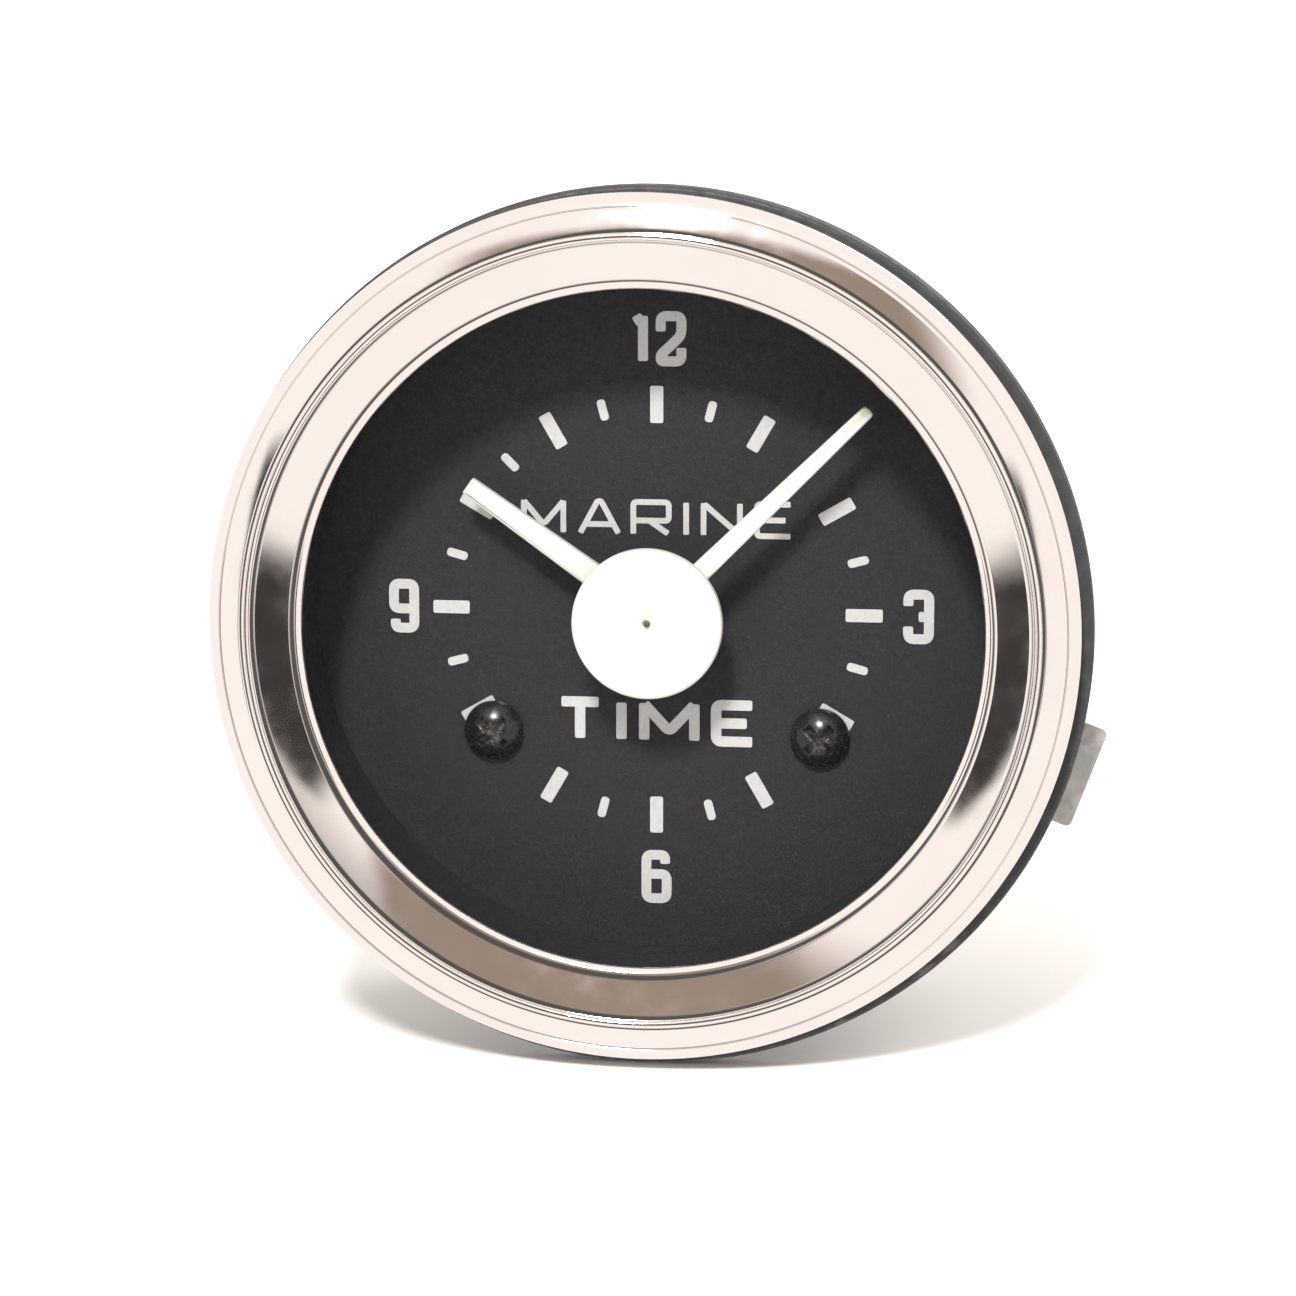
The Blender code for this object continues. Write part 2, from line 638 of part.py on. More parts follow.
def make_lamp():
    """The push-in lamp holder and its bulb."""
    profile = [
        (0.0, -31.0 * MM),
        (2.4 * MM, -31.0 * MM),
        (2.4 * MM, -27.5 * MM),
        (3.4 * MM, -27.5 * MM),
        (3.4 * MM, CASE_BACK - 0.15 * MM),
        (4.75 * MM, CASE_BACK - 0.15 * MM),
        (4.75 * MM, -31.8 * MM),
        (3.6 * MM, -32.1 * MM),
        (3.6 * MM, -37.0 * MM),
        (0.0, -37.0 * MM),
    ]
    turned("lamp_holder", profile, "black_plastic", 24, False, LAMP_PLACE)
    bulb = [
        (0.0, -19.5 * MM),
        (1.3 * MM, -20.0 * MM),
        (2.2 * MM, -21.4 * MM),
        (2.2 * MM, -30.8 * MM),
        (0.0, -30.8 * MM),
    ]
    turned("lamp_bulb", bulb, "glass", 16, False, LAMP_PLACE)


def make_terminals():
    """The terminal block and its two spade blades."""
    blades = {
        "negative": shifted(BLOCK_PLACE, (-BLADE_OFFSET, 0.0)),
        "positive": shifted(BLOCK_PLACE, (BLADE_OFFSET, 0.0)),
    }
    slots = [rectangle(1.1 * MM, 5.1 * MM, (side * BLADE_OFFSET, 0.0)) for side in (-1, 1)]
    body = rectangle(11.0 * MM, 7.5 * MM)
    level = (-34.0 * MM, CASE_BACK - 0.1 * MM)
    sheet("terminal_block", [body, *slots], *level, "black_plastic", BLOCK_PLACE)
    half, chamfer = 2.4 * MM, 0.8 * MM
    inner_end, outer_end = 26.0 * MM, 42.0 * MM
    outline = [
        (-half, inner_end),
        (half, inner_end),
        (half, outer_end - chamfer),
        (half - chamfer, outer_end),
        (chamfer - half, outer_end),
        (-half, outer_end - chamfer),
    ]
    stand = (math.radians(-90), 0.0, math.radians(90))
    for sign, place in blades.items():
        blade = sheet(f"spade_{sign}", [outline], -0.4 * MM, 0.4 * MM, "brass", place, stand)
        blade.location.z = 0.0


def make_studs():
    """The two clamping studs, their heads held inside the case's back."""
    seat = CASE_FLOOR + 0.1 * MM
    for side, place in STUD_PLACES.items():
        profile = [
            (0.0, seat + 2.4 * MM),
            (3.4 * MM, seat + 2.4 * MM),
            (3.4 * MM, seat),
            (STUD_RADIUS, seat),
            (STUD_RADIUS, STUD_END + 0.4 * MM),
            (STUD_RADIUS - 0.4 * MM, STUD_END),
            (0.0, STUD_END),
        ]
        turned(f"stud_{side}", profile, "zinc", 16, False, place)


def bent_strip(corners, thickness, bend, segments=4):
    """The edge view of a strip bent through corners: its outline at a constant thickness."""
    middle = []
    normals = []

    def heading(a, b):
        return math.atan2(b[1] - a[1], b[0] - a[0])

    for i, corner in enumerate(corners):
        if i in (0, len(corners) - 1):
            middle.append(corner)
            near = corners[1] if i == 0 else corners[-2]
            angle = heading(corner, near) if i == 0 else heading(near, corner)
            normals.append(angle + math.pi / 2)
            continue
        before = heading(corners[i - 1], corner)
        after = heading(corner, corners[i + 1])
        swing = (after - before + math.pi) % math.tau - math.pi
        side = math.copysign(1.0, swing)
        back_off = bend * math.tan(abs(swing) / 2)
        start = shifted(corner, from_axis(-back_off, before))
        centre = shifted(start, from_axis(bend * side, before + math.pi / 2))
        for k in range(segments + 1):
            angle = before + swing * k / segments
            middle.append(shifted(centre, from_axis(-bend * side, angle + math.pi / 2)))
            normals.append(angle + math.pi / 2)
    half = thickness / 2
    left = [shifted(p, from_axis(half, n)) for p, n in zip(middle, normals)]
    right = [shifted(p, from_axis(-half, n)) for p, n in zip(middle, normals)]
    return left + right[::-1]


def make_clamp():
    """The U-shaped clamp, extruded across, with its two stud holes. One foot is shorter."""
    foot = -CLAMP_FOOT + CLAMP_THICK / 2
    bar = -CLAMP_BAR - CLAMP_THICK / 2
    corners = [
        (CLAMP_REACH, foot),
        (CLAMP_ARM, foot),
        (CLAMP_ARM, bar),
        (-CLAMP_ARM, bar),
        (-CLAMP_ARM, foot),
        (-CLAMP_SHORT_REACH, foot),
    ]
    outline = bent_strip(corners, CLAMP_THICK, 1.6 * MM)
    stand = (math.radians(-90), 0.0, CLAMP_TURN)
    half = CLAMP_WIDTH / 2
    clamp = meshed(sheet("clamp_bracket", [outline], -half, half, "steel", turn=stand))
    through = (CLAMP_BAR - 1.0 * MM, CLAMP_BAR + 3.0 * MM)
    for side, place in STUD_PLACES.items():
        combine(clamp, peg(f"clamp_hole_{side}", 2.25 * MM, place, *through), "DIFFERENCE")


def make_nuts():
    """A split spring washer and a knurled nut on each stud."""
    gap = math.radians(7)
    sweep = math.tau - 2 * gap
    angles = [gap + sweep * i / 20 for i in range(21)]
    split = [from_axis(4.2 * MM, angle) for angle in angles]
    split += [from_axis(2.3 * MM, angle) for angle in reversed(angles)]
    washer = (CLAMP_BAR - 0.9 * MM, CLAMP_BAR - 0.1 * MM)
    top = washer[0] - 0.1 * MM
    nut = [
        (4.2 * MM, top),
        (4.5 * MM, top - 0.4 * MM),
        (4.5 * MM, top - 4.6 * MM),
        (4.1 * MM, top - 5.0 * MM),
        (2.15 * MM, top - 5.0 * MM),
        (2.15 * MM, top),
    ]
    for side, place in STUD_PLACES.items():
        sheet(f"spring_washer_{side}", [split], *washer, "zinc", place)
        turned(f"clamp_nut_{side}", nut, "brass", 24, True, place)


CENTRE = (0.0, 0.0)
MOTION_AXIS = from_axis(spacing(CANNON_TEETH, MOTION_TEETH, HAND_MODULE), DOWN)
SETTING_AXIS = shifted(
    MOTION_AXIS, from_axis(spacing(MOTION_TEETH, SETTING_TEETH, HAND_MODULE), DOWN)
)
SECOND_AXIS = from_axis(spacing(CENTRE_TEETH, SECOND_PINION_TEETH, HAND_MODULE), TO_SECOND)
FIRST_AXIS = shifted(
    SECOND_AXIS, from_axis(spacing(SECOND_TEETH, FIRST_PINION_TEETH, SECOND_MODULE), TO_FIRST)
)
ROTOR_AXIS = shifted(
    FIRST_AXIS, from_axis(spacing(FIRST_TEETH, ROTOR_TEETH, FIRST_MODULE), TO_ROTOR)
)
STUD_PLACES = {
    "left": from_axis(STUD_SPREAD, CLAMP_TURN + math.pi),
    "right": from_axis(STUD_SPREAD, CLAMP_TURN),
}
SCREW_PLACES = {
    "left": on_clock(SCREW_CIRCLE, -SCREW_CLOCK_ANGLE),
    "right": on_clock(SCREW_CIRCLE, SCREW_CLOCK_ANGLE),
}
PILLAR_PLACES = {
    1: (-12.5 * MM, -4.0 * MM),
    2: (12.5 * MM, -4.0 * MM),
    3: (13.5 * MM, 9.0 * MM),
}
LONE_PILLAR = 3

clear_scene()
PARTS = new_collection("ships_deck_clock")
CUTTERS = new_collection("cutters")
CLOCK_FRAME = bpy.data.objects.new("clock_frame", None)
PARTS.objects.link(CLOCK_FRAME)
CLOCK_FRAME.rotation_euler = (math.radians(90), 0.0, 0.0)

make_front()
make_case()
make_dial()
make_hands()
make_motion_work()
make_train()
make_motor()
make_plates()
make_board()
make_setting_knob()
make_lamp()
make_terminals()
make_studs()
make_clamp()
make_nuts()
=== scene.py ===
"""The looks of the ship's deck clock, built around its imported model.

Sizes are in millimetres until a mesh is made. A place on the clock is a distance to the right, a
distance up towards 12 o'clock, and a height towards the reader from the panel's face.
"""

import json
import math

import bmesh
import bpy
from mathutils import Matrix, Vector
from mathutils.geometry import delaunay_2d_cdt


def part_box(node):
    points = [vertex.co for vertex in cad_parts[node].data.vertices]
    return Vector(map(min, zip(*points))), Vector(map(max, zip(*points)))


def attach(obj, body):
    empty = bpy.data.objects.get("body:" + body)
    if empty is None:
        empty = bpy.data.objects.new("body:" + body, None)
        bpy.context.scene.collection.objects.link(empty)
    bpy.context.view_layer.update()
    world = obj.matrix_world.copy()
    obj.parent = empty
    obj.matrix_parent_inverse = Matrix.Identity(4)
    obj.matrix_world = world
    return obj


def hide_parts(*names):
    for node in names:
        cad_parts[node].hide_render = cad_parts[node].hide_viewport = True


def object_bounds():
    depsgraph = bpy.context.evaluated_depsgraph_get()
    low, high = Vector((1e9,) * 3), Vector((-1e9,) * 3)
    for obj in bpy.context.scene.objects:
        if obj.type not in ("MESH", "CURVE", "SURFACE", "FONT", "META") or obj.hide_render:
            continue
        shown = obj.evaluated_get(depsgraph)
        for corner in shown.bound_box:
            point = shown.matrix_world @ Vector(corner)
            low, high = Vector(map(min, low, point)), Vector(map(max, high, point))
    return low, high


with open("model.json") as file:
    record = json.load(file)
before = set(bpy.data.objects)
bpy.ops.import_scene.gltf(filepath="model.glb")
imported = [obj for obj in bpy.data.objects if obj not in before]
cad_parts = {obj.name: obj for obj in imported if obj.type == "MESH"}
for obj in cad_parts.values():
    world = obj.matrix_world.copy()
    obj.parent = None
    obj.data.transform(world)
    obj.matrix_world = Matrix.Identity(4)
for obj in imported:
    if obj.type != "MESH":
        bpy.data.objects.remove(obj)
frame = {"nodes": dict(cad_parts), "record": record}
CAD_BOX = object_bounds()

MM = 0.001
WELD = 1e-7

# The viewpoint
VIEW_TURN = math.radians(7.4)
VIEW_TILT = math.radians(10.2)
VIEW_DISTANCE = 300.5
VIEW_HEIGHT = 3.0
VIEW_RIGHT = 0.42
VIEW_UP = -1.18
LENS_LENGTH = 122.0

# Looks
NOISE_ROUGHNESS = 0.55
LENS_MIRROR_SHARE = 0.02

# Floor, in metres
FLOOR_HALF = 6.0
FLOOR_GAP = 0.00045

# Bezel and seal
BEAD_RADIUS = 27.15
LIP_RADIUS = 23.5
BEZEL_STEPS = 256
SEAL_PLACE = (0.2, -0.25)

# Dial
DIAL_FACE = -5.0
PRINT_THICK = 0.03
MARK_INNER = 13.3
MARK_OUTER = 15.9
MARK_WIDTH = 0.92
SMALL_MARK_RADIUS = 14.65
SMALL_MARK_LENGTH = 1.5
SMALL_MARK_WIDTH = 0.6
UNMARKED = (135, 225)

# Hands
HOUR_ANGLE = 305.0
MINUTE_ANGLE = 45.4
HOUR_LENGTH = 15.8
MINUTE_LENGTH = 21.4
BOSS_RADIUS = 3.2


def at(right, up, height):
    """A place on the clock, in the frame's metres."""
    return Vector((right * MM, -height * MM, up * MM))


def on_clock(radius, degrees):
    """A place at an angle clockwise from 12 o'clock."""
    angle = math.radians(degrees)
    return Vector((radius * math.sin(angle), radius * math.cos(angle)))


def middle(node):
    """Right and up of the middle of a CAD node, in millimetres."""
    low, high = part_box(node)
    return (low.x + high.x) / 2 / MM, (low.z + high.z) / 2 / MM


# ---------------------------------------------------------------- shapes


def eased(points, reach, steps=4, ring=True, only=None):
    """Round the corners of an outline or a profile. Only some of them, if their numbers are given."""
    made = []
    count = len(points)
    for i, point in enumerate(points):
        corner = Vector(point)
        kept = (only is not None and i not in only) or (not ring and i in (0, count - 1))
        if kept:
            made.append(corner)
            continue
        before = Vector(points[i - 1]) - corner
        after = Vector(points[(i + 1) % count]) - corner
        length = min(reach, 0.48 * before.length, 0.48 * after.length)
        start = corner + before.normalized() * length
        end = corner + after.normalized() * length
        for k in range(steps + 1):
            t = k / steps
            made.append(start * (1 - t) ** 2 + corner * (2 * t * (1 - t)) + end * t * t)
    return made


def bow(start, end, sag, steps=6):
    """Points from start to end along a shallow curve that stands sag to the left of the chord."""
    first, last = Vector(start), Vector(end)
    chord = last - first
    aside = Vector((-chord.y, chord.x)).normalized()
    return [
        first + chord * (k / steps) + aside * (4 * sag * (k / steps) * (1 - k / steps))
        for k in range(steps + 1)
    ]


def arc(centre, radius, start, end, steps=8):
    """Points round a centre, from one angle in degrees to another."""
    turns = [math.radians(start + (end - start) * k / steps) for k in range(steps + 1)]
    return [Vector(centre) + Vector((math.cos(a), math.sin(a))) * radius for a in turns]


def finished(name, work, sharp=35.0):
    """Turn a bmesh into an object with closed, outward, smoothly shaded faces."""
    bmesh.ops.remove_doubles(work, verts=work.verts, dist=WELD)
    bmesh.ops.recalc_face_normals(work, faces=work.faces)
    mesh = bpy.data.meshes.new(name)
    work.to_mesh(mesh)
    work.free()
    mesh.shade_smooth()
    mesh.set_sharp_from_angle(angle=math.radians(sharp))
    piece = bpy.data.objects.new(name, mesh)
    bpy.context.scene.collection.objects.link(piece)
    flat = piece.modifiers.new("Flat faces", "WEIGHTED_NORMAL")
    flat.keep_sharp = True
    return piece


def lathe(name, profile, steps=96, place=(0.0, 0.0), ring=True, relief=None, sharp=35.0):
    """Turn a profile of (radius, height) points. relief(angle, radius, height) adds to the radius."""
    work = bmesh.new()
    rows = []
    for i in range(steps):
        angle = math.tau * i / steps
        row = []
        for radius, height in profile:
            extra = relief(angle, radius, height) if relief else 0.0
            spot = Vector((math.sin(angle), math.cos(angle))) * (radius + extra)
            row.append(work.verts.new(at(place[0] + spot.x, place[1] + spot.y, height)))
        rows.append(row)
    count = len(profile)
    links = range(count if ring else count - 1)
    for i, here in enumerate(rows):
        there = rows[(i + 1) % steps]
        for k in links:
            nxt = (k + 1) % count
            work.faces.new((here[k], here[nxt], there[nxt], there[k]))
    return finished(name, work, sharp)


def prism(work, outline, low, high):
    """Add an upright block with a flat outline to a bmesh."""
    base = [work.verts.new(at(x, y, low)) for x, y in outline]
    top = [work.verts.new(at(x, y, high)) for x, y in outline]
    work.faces.new(base)
    work.faces.new(top)
    for i, corner in enumerate(base):
        nxt = (i + 1) % len(base)
        work.faces.new((corner, base[nxt], top[nxt], top[i]))


def plate(name, outlines, low, high, edge, sharp=35.0):
    """A flat plate with rounded edges. The first outline is its edge and the others are holes."""
    curve = bpy.data.curves.new(name, "CURVE")
    curve.dimensions = "2D"
    curve.fill_mode = "BOTH"
    curve.bevel_depth = edge
    curve.bevel_resolution = 3
    curve.extrude = (high - low) / 2 - edge
    curve.offset = -edge
    for outline in outlines:
        spline = curve.splines.new("POLY")
        spline.points.add(len(outline) - 1)
        spline.use_cyclic_u = True
        for point, (x, y) in zip(spline.points, outline):
            point.co = (x, y, 0.0, 1.0)
    holder = bpy.data.objects.new(name, curve)
    bpy.context.scene.collection.objects.link(holder)
    bpy.context.view_layer.update()
    seen = holder.evaluated_get(bpy.context.evaluated_depsgraph_get())
    mesh = bpy.data.meshes.new_from_object(seen)
    bpy.data.objects.remove(holder, do_unlink=True)
    work = bmesh.new()
    work.from_mesh(mesh)
    lift = (low + high) / 2
    for vertex in work.verts:
        vertex.co = at(vertex.co.x, vertex.co.y, vertex.co.z + lift)
    return finished(name, work, sharp)


def applied(piece):
    """Apply a piece's modifiers, so that its mesh is its final shape."""
    bpy.context.view_layer.update()
    seen = piece.evaluated_get(bpy.context.evaluated_depsgraph_get())
    mesh = bpy.data.meshes.new_from_object(seen)
    piece.modifiers.clear()
    piece.data = mesh
    return piece


def cut(piece, tool):
    """Cut a piece with a tool, which is used up."""
    change = piece.modifiers.new("Cut", "BOOLEAN")
    change.operation = "DIFFERENCE"
    change.solver = "EXACT"
    change.object = tool
    applied(piece)
    bpy.data.objects.remove(tool, do_unlink=True)
    piece.data.shade_smooth()
    piece.data.set_sharp_from_angle(angle=math.radians(35))
    flat = piece.modifiers.new("Flat faces", "WEIGHTED_NORMAL")
    flat.keep_sharp = True
    return piece


def bevelled(work, edges, width, segments):
    """Round some edges of a bmesh."""
    bmesh.ops.bevel(
        work, geom=edges, offset=width * MM, segments=segments, profile=0.5,
        affect="EDGES", clamp_overlap=True,
    )


def refined(node, width, segments=2, ends=0.0):
    """A copy of a CAD node's solid, with its edges rounded.

    ends is a larger radius for the short edges that run along the clock's axis.
    """
    work = bmesh.new()
    work.from_mesh(frame["nodes"][node].data)
    bmesh.ops.remove_doubles(work, verts=work.verts, dist=1e-6)
    bmesh.ops.dissolve_limit(
        work, angle_limit=math.radians(1.0), verts=work.verts, edges=work.edges
    )
    if ends:
        short = []
        for edge in work.edges:
            along = edge.verts[1].co - edge.verts[0].co
            if along.length < 2 * MM and abs(along.y) > 0.99 * along.length:
                short.append(edge)
        bevelled(work, short, ends, 5)
    corners = [
        edge for edge in work.edges
        if len(edge.link_faces) == 2 and edge.calc_face_angle(0.0) > math.radians(30)
    ]
    bevelled(work, corners, width, segments)
    return finished(f"{node}_fine", work)


# ---------------------------------------------------------------- materials


class Surface:
    """A procedural material, built up from noise in the object's own space."""

    def __init__(self, name, colour, roughness, metallic=0.0):
        self.material = bpy.data.materials.new(name)
        self.material.use_nodes = True
        self.material.diffuse_color = (*colour, 1.0)
        self.tree = self.material.node_tree
        self.shader = self.tree.nodes["Principled BSDF"]
        self.shader.inputs["Roughness"].default_value = roughness
        self.shader.inputs["Metallic"].default_value = metallic
        self.space = self.node("ShaderNodeTexCoord").outputs["Object"]
        self.colour = self.value_colour(colour)
        self.bump = None

    def node(self, kind, **settings):
        made = self.tree.nodes.new(kind)
        for key, value in settings.items():
            setattr(made, key, value)
        return made

    def join(self, source, target):
        self.tree.links.new(source, target)

    def value_colour(self, colour):
        made = self.node("ShaderNodeRGB")
        made.outputs[0].default_value = (*colour, 1.0)
        return made.outputs[0]

    def noise(self, size, detail=3.0, stretch=(1.0, 1.0, 1.0)):
        """Noise from 0 to 1 whose lumps are about size millimetres across."""
        place = self.node("ShaderNodeMapping")
        place.inputs["Scale"].default_value = stretch
        self.join(self.space, place.inputs["Vector"])
        made = self.node("ShaderNodeTexNoise")
        made.inputs["Scale"].default_value = 1.0 / (size * MM)
        made.inputs["Detail"].default_value = detail
        made.inputs["Roughness"].default_value = NOISE_ROUGHNESS
        self.join(place.outputs[0], made.inputs["Vector"])
        return made.outputs["Fac"]

    def rings(self, pitch, distortion=0.0):
        """Fine lines round the clock's axis, as left by turning or polishing."""
        made = self.node("ShaderNodeTexWave", wave_type="RINGS", rings_direction="Y")
        made.inputs["Scale"].default_value = math.pi / 10 / (pitch * MM)
        made.inputs["Distortion"].default_value = distortion
        made.inputs["Detail Scale"].default_value = 1.0
        self.join(self.space, made.inputs["Vector"])
        return made.outputs["Fac"]

    def between(self, source, low, high, start=0.0, end=1.0):
        """Stretch a value from low..high to start..end, and clamp it."""
        made = self.node("ShaderNodeMapRange", interpolation_type="SMOOTHSTEP")
        for key, value in zip(("From Min", "From Max", "To Min", "To Max"), (low, high, start, end)):
            made.inputs[key].default_value = value
        self.join(source, made.inputs["Value"])
        return made.outputs[0]

    def times(self, first, second):
        made = self.node("ShaderNodeMath", operation="MULTIPLY")
        self.join(first, made.inputs[0])
        self.join(second, made.inputs[1])
        return made.outputs[0]

    def tint(self, factor, colour):
        """Mix a colour in where factor is high."""
        made = self.node("ShaderNodeMix", data_type="RGBA")
        self.join(factor, made.inputs["Factor"])
        self.join(self.colour, made.inputs["A"])
        made.inputs["B"].default_value = (*colour, 1.0)
        self.colour = made.outputs["Result"]
        return self

    def rough(self, source, low, high, start, end):
        """Let roughness follow a value."""
        self.join(self.between(source, low, high, start, end), self.shader.inputs["Roughness"])
        return self

    def raised(self, source, depth, strength=1.0):
        """Add relief of a depth in millimetres."""
        made = self.node("ShaderNodeBump")
        made.inputs["Strength"].default_value = strength
        made.inputs["Distance"].default_value = depth * MM
        self.join(source, made.inputs["Height"])
        if self.bump:
            self.join(self.bump, made.inputs["Normal"])
        self.bump = made.outputs[0]
        return self

    def edges(self, low=0.53, high=0.62):
        """High on outer edges, broken up as real wear is."""
        shape = self.node("ShaderNodeNewGeometry").outputs["Pointiness"]
        return self.times(
            self.between(shape, low, high), self.between(self.noise(0.7, 4.0), 0.35, 0.6)
        )

    def done(self):
        self.join(self.colour, self.shader.inputs["Base Color"])
        if self.bump:
            self.join(self.bump, self.shader.inputs["Normal"])
        return self.material


def chrome():
    made = Surface("bright_chrome", (0.93, 0.885, 0.86), 0.05, 1.0)
    made.tint(made.between(made.noise(9.0), 0.35, 0.7, 0.0, 0.5), (0.90, 0.84, 0.81))
    made.rough(made.noise(2.5, 5.0), 0.3, 0.75, 0.035, 0.10)
    made.raised(made.noise(5.0, 1.0), 0.018, 0.55)
    made.raised(made.rings(0.11, 0.6), 0.0009, 0.12)
    made.raised(made.noise(0.5, 2.0, (1.0, 0.25, 1.0)), 0.001, 0.1)
    return made.done()


def dial_black():
    made = Surface("dial_matte_black", (0.0085, 0.0085, 0.0095), 0.62)
    made.tint(made.between(made.noise(0.16, 2.0), 0.5, 0.72), (0.021, 0.021, 0.023))
    made.tint(made.between(made.noise(7.0), 0.45, 0.7, 0.0, 0.5), (0.011, 0.010, 0.014))
    made.rough(made.noise(0.4, 4.0), 0.3, 0.7, 0.55, 0.75)
    made.raised(made.noise(0.12, 2.0), 0.012, 0.6)
    return made.done()


def print_white():
    made = Surface("printed_white", (0.50, 0.502, 0.498), 0.55)
    made.tint(made.between(made.noise(0.35, 4.0), 0.45, 0.75, 0.0, 0.6), (0.40, 0.40, 0.41))
    made.rough(made.noise(0.3, 3.0), 0.3, 0.7, 0.5, 0.68)
    made.raised(made.noise(0.12, 3.0), 0.006, 0.5)
    return made.done()


def hand_white():
    made = Surface("hand_cream_white", (0.68, 0.685, 0.645), 0.48)
    made.tint(made.between(made.noise(3.0, 4.0), 0.4, 0.75, 0.0, 0.5), (0.69, 0.68, 0.60))
    made.tint(made.edges(), (0.56, 0.55, 0.46))
    made.rough(made.noise(0.5, 4.0), 0.3, 0.7, 0.40, 0.58)
    made.raised(made.noise(0.35, 3.0), 0.006, 0.5)
    return made.done()


def black_oxide():
    made = Surface("screw_black", (0.010, 0.010, 0.011), 0.26)
    made.tint(made.edges(), (0.11, 0.105, 0.10))
    made.tint(made.between(made.noise(0.5, 4.0), 0.45, 0.7, 0.0, 0.6), (0.018, 0.017, 0.017))
    made.rough(made.noise(0.4, 4.0), 0.3, 0.7, 0.17, 0.32)
    made.raised(made.noise(0.25, 3.0), 0.008, 0.5)
    return made.done()


def black_plastic():
    base = 0.022
    made = Surface("moulded_black", (base, base, base * 1.08), 0.45)
    made.tint(made.between(made.noise(3.0, 4.0), 0.4, 0.7, 0.0, 0.6), (base * 1.6,) * 3)
    made.tint(made.edges(0.54, 0.66), (base * 4,) * 3)
    made.rough(made.noise(0.6, 4.0), 0.3, 0.7, 0.36, 0.55)
    made.raised(made.noise(0.18, 3.0), 0.008, 0.7)
    return made.done()


def shade_black():
    made = Surface("shade_wall_black", (0.012, 0.012, 0.013), 0.75)
    made.tint(made.between(made.noise(0.6, 4.0), 0.45, 0.75), (0.011, 0.011, 0.011))
    made.rough(made.noise(0.5, 3.0), 0.3, 0.7, 0.6, 0.8)
    made.raised(made.noise(0.2, 3.0), 0.01, 0.6)
    return made.done()


def white_plastic():
    made = Surface("moulded_white", (0.78, 0.765, 0.71), 0.42)
    made.tint(made.between(made.noise(4.0, 4.0), 0.4, 0.7, 0.0, 0.7), (0.72, 0.69, 0.61))
    made.rough(made.noise(0.6, 4.0), 0.3, 0.7, 0.34, 0.52)
    made.raised(made.noise(0.3, 3.0), 0.006, 0.5)
    return made.done()


def rubber():
    made = Surface("seal_rubber", (0.026, 0.029, 0.029), 0.6)
    made.tint(made.between(made.noise(2.0, 5.0), 0.45, 0.75, 0.0, 0.8), (0.052, 0.055, 0.053))
    made.tint(made.edges(0.52, 0.62), (0.095, 0.10, 0.098))
    made.rough(made.noise(0.7, 4.0), 0.3, 0.7, 0.45, 0.72)
    made.raised(made.noise(0.22, 4.0), 0.02, 0.7)
    made.raised(made.noise(3.0, 2.0), 0.03, 0.5)
    return made.done()


def steel():
    made = Surface("pressed_steel", (0.60, 0.59, 0.57), 0.3, 1.0)
    made.tint(made.between(made.noise(6.0, 5.0), 0.45, 0.7, 0.0, 0.7), (0.50, 0.485, 0.46))
    made.tint(made.between(made.noise(0.8, 5.0), 0.62, 0.75), (0.36, 0.33, 0.30))
    made.rough(made.noise(1.2, 5.0), 0.3, 0.7, 0.22, 0.42)
    made.raised(made.noise(0.5, 3.0, (1.0, 0.06, 1.0)), 0.006, 0.5)
    return made.done()


def bracket_steel():
    made = Surface("bracket_steel", (0.74, 0.72, 0.67), 0.40, 0.8)
    made.tint(made.between(made.noise(5.0, 5.0), 0.45, 0.7, 0.0, 0.6), (0.66, 0.64, 0.59))
    made.tint(made.between(made.noise(1.0, 6.0), 0.68, 0.80, 0.0, 0.6), (0.52, 0.495, 0.45))
    made.tint(made.edges(0.52, 0.6), (0.84, 0.83, 0.80))
    made.rough(made.noise(1.2, 5.0), 0.3, 0.7, 0.34, 0.55)
    made.raised(made.noise(0.5, 3.0, (1.0, 0.06, 1.0)), 0.006, 0.5)
    return made.done()


def zinc():
    made = Surface("zinc_plate", (0.71, 0.715, 0.70), 0.34, 1.0)
    made.tint(made.between(made.noise(3.5, 5.0), 0.45, 0.7, 0.0, 0.8), (0.60, 0.615, 0.62))
    made.tint(made.between(made.noise(1.2, 6.0), 0.6, 0.75, 0.0, 0.7), (0.78, 0.73, 0.58))
    made.rough(made.noise(0.8, 5.0), 0.3, 0.7, 0.24, 0.46)
    made.raised(made.noise(0.3, 4.0), 0.006, 0.5)
    return made.done()


def case_lacquer():
    """Bright pressed steel under a thin clear lacquer, scuffed on its edges."""
    made = Surface("case_steel", (0.56, 0.555, 0.54), 0.3, 1.0)
    made.tint(made.between(made.noise(9.0, 5.0), 0.4, 0.7, 0.0, 0.7), (0.47, 0.46, 0.44))
    made.tint(made.between(made.noise(1.4, 6.0), 0.66, 0.82, 0.0, 0.3), (0.42, 0.395, 0.36))
    made.tint(made.edges(0.52, 0.6), (0.78, 0.77, 0.75))
    made.rough(made.noise(1.0, 5.0), 0.3, 0.7, 0.22, 0.40)
    made.raised(made.noise(1.1, 3.0, (1.0, 0.05, 1.0)), 0.012, 0.5)
    made.raised(made.rings(0.35, 1.2), 0.002, 0.35)
    return made.done()


def brass():
    made = Surface("turned_brass", (0.80, 0.61, 0.28), 0.26, 1.0)
    made.tint(made.between(made.noise(2.5, 5.0), 0.42, 0.7, 0.0, 0.8), (0.62, 0.43, 0.18))
    made.tint(made.edges(0.53, 0.63), (0.90, 0.74, 0.42))
    made.rough(made.noise(0.7, 5.0), 0.3, 0.7, 0.18, 0.38)
    made.raised(made.noise(0.3, 3.0), 0.005, 0.5)
    return made.done()


